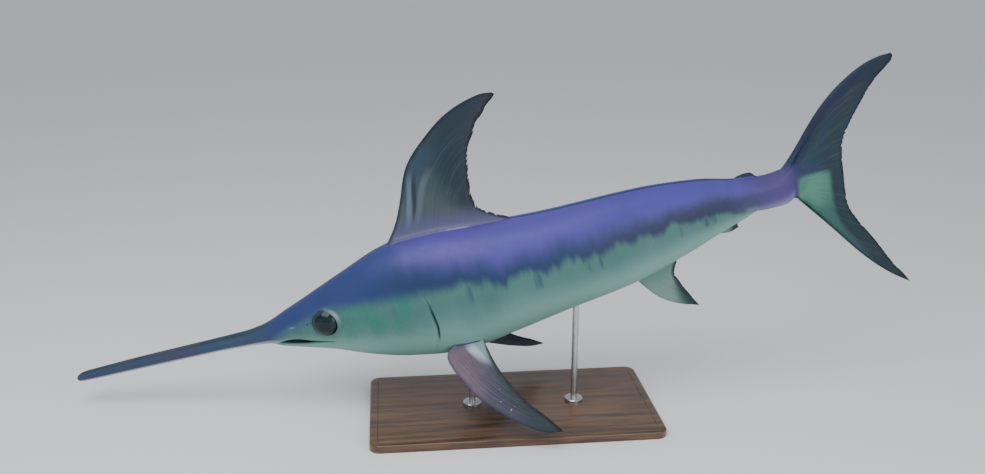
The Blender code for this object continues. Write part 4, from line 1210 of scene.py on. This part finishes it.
# %% [markdown]
# ## The eyes' colours
#
# Seen from a step away the eye is one dark blue-green disc. Nearer, it is a black pupil in an iris with
# fine spokes and a thin paler ring. The mesh stores the unit ball, so the distance from the line of sight
# is known at every point, and the spokes are noise wrapped round it.

# %% Colours of the eyes
PUPIL = (0.003, 0.012, 0.017)
IRIS_DARK = (0.004, 0.016, 0.022)
IRIS_PALE = (0.006, 0.023, 0.030)
IRIS_RING = (0.020, 0.055, 0.065)
IRIS_EDGE = (0.003, 0.008, 0.012)
EYE_RIM = (0.016, 0.034, 0.042)

glaze = Finish("eye_glaze")
look_x, look_y, _ = glaze.split(glaze.read("look", "Vector"))
from_axis = glaze.plus(glaze.times(look_x, look_x), glaze.times(look_y, look_y))
from_axis = glaze.sum("SQRT", from_axis)
turn_at = glaze.sum("ARCTAN2", look_y, look_x)
spoke_place = glaze.gather(glaze.sum("COSINE", turn_at), glaze.sum("SINE", turn_at),
                           glaze.times(from_axis, 0.5))
spokes = glaze.noise(spoke_place, 16.0, 4.0)
iris = glaze.blend(glaze.step(spokes, 0.3, 0.7), IRIS_DARK, IRIS_PALE)
iris = glaze.blend(glaze.times(glaze.band(from_axis, 0.415, 0.425, 0.015), 0.14), iris, IRIS_RING)
seen = glaze.layers(glaze.blend(glaze.step(from_axis, 0.385, 0.410), PUPIL, iris),
                    (glaze.step(from_axis, 0.56, 0.70), IRIS_EDGE),
                    (glaze.step(from_axis, 0.74, 0.78), EYE_RIM))
glaze.surface(seen, glaze.step(spokes, 0.2, 0.8, 0.10, 0.18), specular=0.25, coat=0.14,
              coat_roughness=0.05)
for word, ball in eyes.items():
    glaze.paint(ball, "eye_glass")
    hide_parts(f"eye_{word}")
    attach(ball, "root")

# %% [markdown]
# ## The fins' colours
#
# A fin keeps the skin's colour at its foot and changes along its rays. Each point of a blade carries its
# ray, how far out along the ray it lies, and its distances from the leading edge, the trailing edge and the
# skin, so a dark rim or a pale foot is one soft step on a distance.

# %% What all the fins share
SLATE_DARK = (0.013, 0.028, 0.042)
OLIVE_DARK = (0.020, 0.034, 0.034)
PLUM_DARK = (0.026, 0.028, 0.042)
RIM_BLACK = (0.003, 0.007, 0.012)
RAY_PALE = (0.300, 0.340, 0.380)


def start_fin(name):
    """Reads a blade's stored numbers and adds the fine lines of its rays."""
    fin = Finish(name)
    fin.still = fin.read("still", "Vector")
    for key in ("share", "ray", "reach", "rim", "front", "over"):
        setattr(fin, key, fin.read(key))
    mottle = fin.group(MOTTLE, Place=fin.still)
    fin.cloud, fin.speckle = mottle["Cloud"], mottle["Speckle"]
    rays = fin.noise(fin.gather(fin.times(fin.ray, 1.7), fin.times(fin.reach, 2.0), 0.0), 1.0, 3.0, 0.6)
    calm = fin.times(fin.step(fin.share, 0.02, 0.26), fin.step(fin.over, 0.0, 0.05, 0.4, 1.0))
    fin.rays = fin.plus(fin.times(fin.plus(rays, -0.5), calm), 0.5)
    return fin


def end_fin(fin, colour, slot, *keys):
    """Draws the rays faintly over the colour, then sets gloss and relief."""
    colour = fin.layers(colour, (fin.step(fin.rays, 0.52, 0.72, 0.0, 0.06), RAY_PALE),
                        (fin.step(fin.rays, 0.48, 0.30, 0.0, 0.22), RIM_BLACK))
    roughness = fin.step(fin.wander(fin.speckle, fin.cloud, 0.4), 0.3, 0.7, 0.38, 0.54)
    fin.surface(colour, roughness, specular=0.25, coat=0.05, coat_roughness=0.3)
    fin.relief(fin.plus(fin.rays, fin.times(fin.speckle, 0.3)), 0.0006, 0.6)
    for key in keys:
        fin.paint(fins[key], slot)


# %% The two dorsal fins
DORSAL_GREY = (0.055, 0.082, 0.088)
DORSAL_NAVY = (0.020, 0.048, 0.086)
# The dorsal fin's folds are painted, not shaped: pale painted highlights on two folds and painted shade in
# the line between them.
FOLD_SHADE_DARK = (0.012, 0.020, 0.026)
FOLD_HIGHLIGHT_GREY = (0.090, 0.135, 0.160)
FOLD_HIGHLIGHT_BLUE = (0.110, 0.150, 0.220)
FOOT_MAUVE = (0.082, 0.086, 0.178)
SECOND_DORSAL_NAVY = (0.012, 0.018, 0.050)

fin = start_fin("dorsal_fin_skin")
front_navy = fin.times(fin.step(fin.share, 0.03, 0.24, 1.0, 0.0), fin.band(fin.over, 0.120, 0.200, 0.050))
# Painted highlights on the front and rear folds, and painted shade in the line between them.
front_fold_highlight = fin.band(fin.plus(fin.share, fin.times(fin.over, 0.58)), 0.126, 0.148, 0.022)
rear_fold_highlight = fin.band(fin.wander(fin.share, fin.rays, 0.02), 0.178, 0.204, 0.036)
between = fin.band(fin.plus(fin.share, fin.times(fin.over, 0.68)), 0.190, 0.202, 0.022)
fold_height = fin.band(fin.over, 0.035, 0.125, 0.060)
# Painted highlight: a broken pale glint along the fin's foot.
foot_glint = fin.times(fin.band(fin.over, -0.0004, 0.0012, 0.0012), fin.band(fin.share, 0.38, 0.58, 0.12))
foot_glint = fin.times(foot_glint, fin.step(fin.noise(fin.still, 45.0, 2.0), 0.40, 0.62))
colour = fin.layers(
    fin.blend(fin.step(fin.wander(fin.reach, fin.cloud, 0.3), 0.25, 0.75), DORSAL_GREY, SLATE_DARK),
    (fin.times(fin.step(fin.share, 0.40, 0.85), 0.7), OLIVE_DARK),
    (fin.times(front_navy, 0.65), DORSAL_NAVY),
    (fin.step(fin.wander(fin.rim, fin.cloud, 0.05), 0.004, 0.050, 0.6, 0.0), PLUM_DARK),
    (fin.times(between, fin.times(fold_height, 0.80)), FOLD_SHADE_DARK),
    (fin.times(rear_fold_highlight, fin.times(fold_height, 0.70)), FOLD_HIGHLIGHT_GREY),
    (fin.times(front_fold_highlight, fin.times(fold_height, 0.80)), FOLD_HIGHLIGHT_BLUE),
    (fin.step(fin.wander(fin.over, fin.rays, 0.04), 0.004, 0.070, 1.0, 0.0), FOOT_MAUVE),
    (fin.times(foot_glint, 0.75), PAINTED_GLINT_MAUVE),
    (fin.step(fin.rim, 0.003, 0.012, 0.9, 0.0), RIM_BLACK),
    (fin.step(fin.front, 0.002, 0.012, 0.7, 0.0), RIM_BLACK))
end_fin(fin, colour, "dark_fin", "dorsal")

fin = start_fin("second_dorsal_skin")
colour = fin.blend(fin.step(fin.over, 0.000, 0.006), VIOLET_BACK, SECOND_DORSAL_NAVY)
colour = fin.blend(fin.step(fin.rim, 0.001, 0.004, 1.0, 0.0), colour, RIM_BLACK)
end_fin(fin, colour, "dark_fin", "second_dorsal")

# %% The two anal fins
ANAL_FOOT = (0.095, 0.215, 0.195)
ANAL_PALE = (0.155, 0.260, 0.232)
ANAL_TIP = (0.014, 0.040, 0.050)
ANAL_RIM = (0.008, 0.024, 0.030)
SECOND_ANAL_PALE = (0.120, 0.230, 0.200)
SECOND_ANAL_TIP = (0.016, 0.038, 0.044)

fin = start_fin("anal_fin_skin")
tip = fin.step(fin.wander(fin.reach, fin.cloud, 0.25), 0.66, 0.90)
colour = fin.layers(
    fin.blend(fin.step(fin.over, 0.0, 0.05), ANAL_FOOT, ANAL_PALE),
    (fin.times(tip, fin.step(fin.share, 0.30, 0.75, 1.0, 0.0)), ANAL_TIP),
    (fin.step(fin.rim, 0.004, 0.015, 0.95, 0.0), ANAL_RIM))
end_fin(fin, colour, "pale_fin", "anal")

fin = start_fin("second_anal_skin")
colour = fin.blend(fin.step(fin.reach, 0.55, 0.85), SECOND_ANAL_PALE, SECOND_ANAL_TIP)
colour = fin.blend(fin.step(fin.rim, 0.001, 0.004, 1.0, 0.0), colour, RIM_BLACK)
end_fin(fin, colour, "pale_fin", "second_anal")

# %% The tail
TAIL_OLIVE = (0.016, 0.032, 0.030)
TAIL_TEAL = (0.026, 0.080, 0.084)
TAIL_HEM = (0.012, 0.032, 0.040)
TAIL_FRONT = (0.006, 0.022, 0.026)

fin = start_fin("tail_skin")
root = fin.step(fin.wander(fin.over, fin.cloud, 0.04), 0.010, 0.120, 0.9, 0.0)
olive = fin.step(fin.wander(fin.rim, fin.cloud, 0.03), 0.030, 0.062, 1.0, 0.0)
upper = fin.layers(
    fin.blend(fin.step(fin.wander(fin.share, fin.cloud, 0.3), 0.10, 0.60), TAIL_NAVY, TAIL_SLATE),
    (root, TAIL_ROOT),
    (fin.times(olive, fin.step(fin.reach, 0.70, 0.92, 1.0, 0.25)), TAIL_OLIVE))
lower = fin.layers(
    fin.blend(fin.step(fin.wander(fin.over, fin.cloud, 0.08), 0.040, 0.200), TAIL_GREEN, TAIL_TEAL),
    (fin.step(fin.wander(fin.rim, fin.cloud, 0.014), 0.032, 0.050, 1.0, 0.0), TAIL_HEM),
    (fin.step(fin.front, 0.003, 0.010, 0.9, 0.0), TAIL_FRONT))
height = fin.split(fin.still)[2]
stalk = fin.group(STALK_MASK, Place=fin.still, Cloud=fin.cloud)
colour = fin.layers(
    fin.blend(fin.step(fin.wander(height, fin.cloud, 0.03), 0.020, 0.040), lower, upper),
    (fin.step(fin.rim, 0.002, 0.010, 0.8, 0.0), RIM_BLACK),
    (stalk["Mask"], STALK_MAUVE))
end_fin(fin, colour, "dark_fin", "tail")

# %% The side fins
SIDE_PINK = (0.128, 0.082, 0.120)
SIDE_VIOLET = (0.040, 0.040, 0.072)
SIDE_BLUE = (0.052, 0.062, 0.105)
SIDE_TIP = (0.014, 0.026, 0.034)
SIDE_TEAL = (0.200, 0.340, 0.340)
SIDE_WHITE = (0.400, 0.500, 0.560)
SIDE_FOOT = (0.080, 0.100, 0.150)
SIDE_ROOT_SHADOW = (0.030, 0.045, 0.060)
SPECK_PALE = (0.40, 0.42, 0.44)

fin = start_fin("side_fin_skin")
blue = fin.times(fin.step(fin.share, 0.25, 0.70), fin.step(fin.reach, 0.25, 0.60, 0.6, 0.0))
rear_pale = fin.times(fin.band(fin.share, 0.60, 0.98, 0.12), fin.step(fin.over, 0.030, 0.090, 0.8, 0.0))
slanted = fin.plus(fin.share, fin.times(fin.over, -1.7))
white = fin.times(fin.band(slanted, 0.42, 0.50, 0.12), fin.step(fin.over, 0.020, 0.078, 0.9, 0.0))
foot = fin.times(fin.step(fin.over, 0.004, 0.020, 0.8, 0.0), fin.step(fin.share, 0.30, 0.65, 1.0, 0.0))
# Painted shadow: a dark line where the side fin's root meets the body.
line = fin.times(fin.band(fin.over, -0.001, 0.0012, 0.0016), fin.band(fin.share, 0.20, 0.75, 0.1))
rim = fin.times(fin.step(fin.rim, 0.003, 0.012, 0.95, 0.0), fin.step(fin.reach, 0.50, 0.72))
specks = fin.step(fin.noise(fin.still, 170.0, 0.0), 0.77, 0.80)
specks = fin.times(specks, fin.band(fin.reach, 0.66, 0.82, 0.04))
specks = fin.times(specks, fin.band(fin.share, 0.12, 0.30, 0.06))
on_left = fin.step(fin.split(fin.still)[1], -0.04, -0.03, 1.0, 0.0)
colour = fin.layers(
    fin.blend(fin.step(fin.wander(fin.reach, fin.cloud, 0.35), 0.22, 0.66), SIDE_PINK, SIDE_VIOLET),
    (blue, SIDE_BLUE),
    (fin.step(fin.wander(fin.reach, fin.cloud, 0.30), 0.60, 0.88), SIDE_TIP),
    (rear_pale, SIDE_TEAL),
    (white, SIDE_WHITE),
    (foot, SIDE_FOOT),
    (line, SIDE_ROOT_SHADOW),
    (rim, RIM_BLACK),
    (fin.times(specks, on_left), SPECK_PALE))
end_fin(fin, colour, "side_fin", "side_left", "side_right")

# %% [markdown]
# ## Wood and steel
#
# The board is dark walnut: long noise drawn out along the grain, with darker pores. The rods are brushed
# steel, whose fine rings run round the rod as a lathe leaves them.

# %% Finishes of the stand
WALNUT_DARK = (0.046, 0.021, 0.010)
WALNUT_PALE = (0.145, 0.070, 0.033)
WALNUT_PORE = (0.020, 0.010, 0.006)
STEEL_DARK = (0.42, 0.43, 0.44)
STEEL_PALE = (0.62, 0.62, 0.61)

wood = Finish("walnut_board")
place_at = wood.add("ShaderNodeTexCoord").outputs["Object"]
grain = wood.noise(place_at, 9.0, 5.0, 0.6, (0.35, 5.0, 5.0))
pores = wood.noise(place_at, 120.0, 2.0, 0.5, (0.10, 3.0, 3.0))
walnut = wood.layers(wood.blend(wood.step(grain, 0.36, 0.64), WALNUT_DARK, WALNUT_PALE),
                     (wood.step(pores, 0.58, 0.70, 0.0, 0.6), WALNUT_PORE))
wood.surface(walnut, wood.step(grain, 0.3, 0.7, 0.30, 0.42), specular=0.5, coat=0.3, coat_roughness=0.18)
wood.relief(pores, 0.0003, 0.5)
wood.paint(board, "base_wood")
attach(board, "root")

steel = Finish("brushed_steel")
place_at = steel.add("ShaderNodeTexCoord").outputs["Object"]
brush = steel.noise(place_at, 260.0, 2.0, 0.5, (0.12, 0.12, 4.0))
steel.surface(steel.blend(brush, STEEL_DARK, STEEL_PALE), steel.step(brush, 0.2, 0.8, 0.24, 0.40),
              specular=0.5, coat=0.0, coat_roughness=0.03)
steel.shader.inputs["Metallic"].default_value = 1.0
steel.relief(brush, 0.0001, 0.4)
for group in rods.values():
    for piece in group:
        steel.paint(piece, "rod_steel")
        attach(piece, "root")

# %% [markdown]
# ## Studio
#
# A pale floor, a soft sky of even light, one large lamp above and to the left and a weaker one to the right
# give the plain light of a catalogue. The camera looks from a little above, and its place is worked out
# from the fish's centre.

# %% Floor and light
FLOOR_SIZE = 80.0
FLOOR_PALE = (0.84, 0.85, 0.86, 1.0)
SKY_PALE = (0.86, 0.90, 0.95, 1.0)
SKY_STRENGTH = 0.62

pick_nothing()
bpy.ops.mesh.primitive_plane_add(size=FLOOR_SIZE, location=(0.0, 0.0, 0.0))
floor = bpy.context.object
floor.name = "studio_floor"
pale = Finish("pale_floor")
pale.shader.inputs["Base Color"].default_value = FLOOR_PALE
pale.shader.inputs["Roughness"].default_value = 0.8
floor.data.materials.append(pale.material)

world = bpy.data.worlds.new("soft_sky")
bpy.context.scene.world = world
world.use_nodes = True
world.node_tree.nodes["Background"].inputs["Color"].default_value = SKY_PALE
world.node_tree.nodes["Background"].inputs["Strength"].default_value = SKY_STRENGTH


def add_lamp(name, place, size, watts, aim):
    lamp = bpy.data.lights.new(name, "AREA")
    lamp.shape = "SQUARE"
    lamp.size = size
    lamp.energy = watts
    holder = bpy.data.objects.new(name, lamp)
    bpy.context.scene.collection.objects.link(holder)
    holder.location = place
    holder.rotation_euler = (Vector(aim) - Vector(place)).to_track_quat("-Z", "Y").to_euler()


add_lamp("key_lamp", (-1.2, -1.6, 3.2), 2.6, 95.0, (0.0, 0.0, 0.4))
add_lamp("fill_lamp", (1.7, -2.9, 1.25), 2.0, 38.0, (0.1, 0.0, 0.4))

# %% The camera
CAMERA_RISE = math.radians(17.5)
CAMERA_YAW = math.radians(6.0)
CAMERA_DISTANCE = 2.7253
FRAME_SLIDE = (-0.10395, 0.0896)
FOCAL_PIXELS = 1000.0
FRAME_WIDTH = 985.0
SENSOR = 36.0
level = math.cos(CAMERA_RISE)
back_to = Vector((-math.sin(CAMERA_YAW) * level, -math.cos(CAMERA_YAW) * level, math.sin(CAMERA_RISE)))
rightward = (-back_to).cross(Vector((0.0, 0.0, 1.0))).normalized()
upward = back_to.cross(rightward)
lens = bpy.data.cameras.new("camera")
lens.sensor_width = SENSOR
lens.sensor_fit = "HORIZONTAL"
lens.lens = SENSOR * FOCAL_PIXELS / FRAME_WIDTH
camera = bpy.data.objects.new("camera", lens)
bpy.context.scene.collection.objects.link(camera)
eye_place = (Vector(CENTRE_PLACE) + back_to * CAMERA_DISTANCE + rightward * FRAME_SLIDE[0]
             + upward * FRAME_SLIDE[1])
turning = Matrix((rightward, upward, back_to)).transposed().to_4x4()
camera.matrix_world = Matrix.Translation(eye_place) @ turning
bpy.context.scene.camera = camera
print("camera at", [round(value, 3) for value in eye_place])
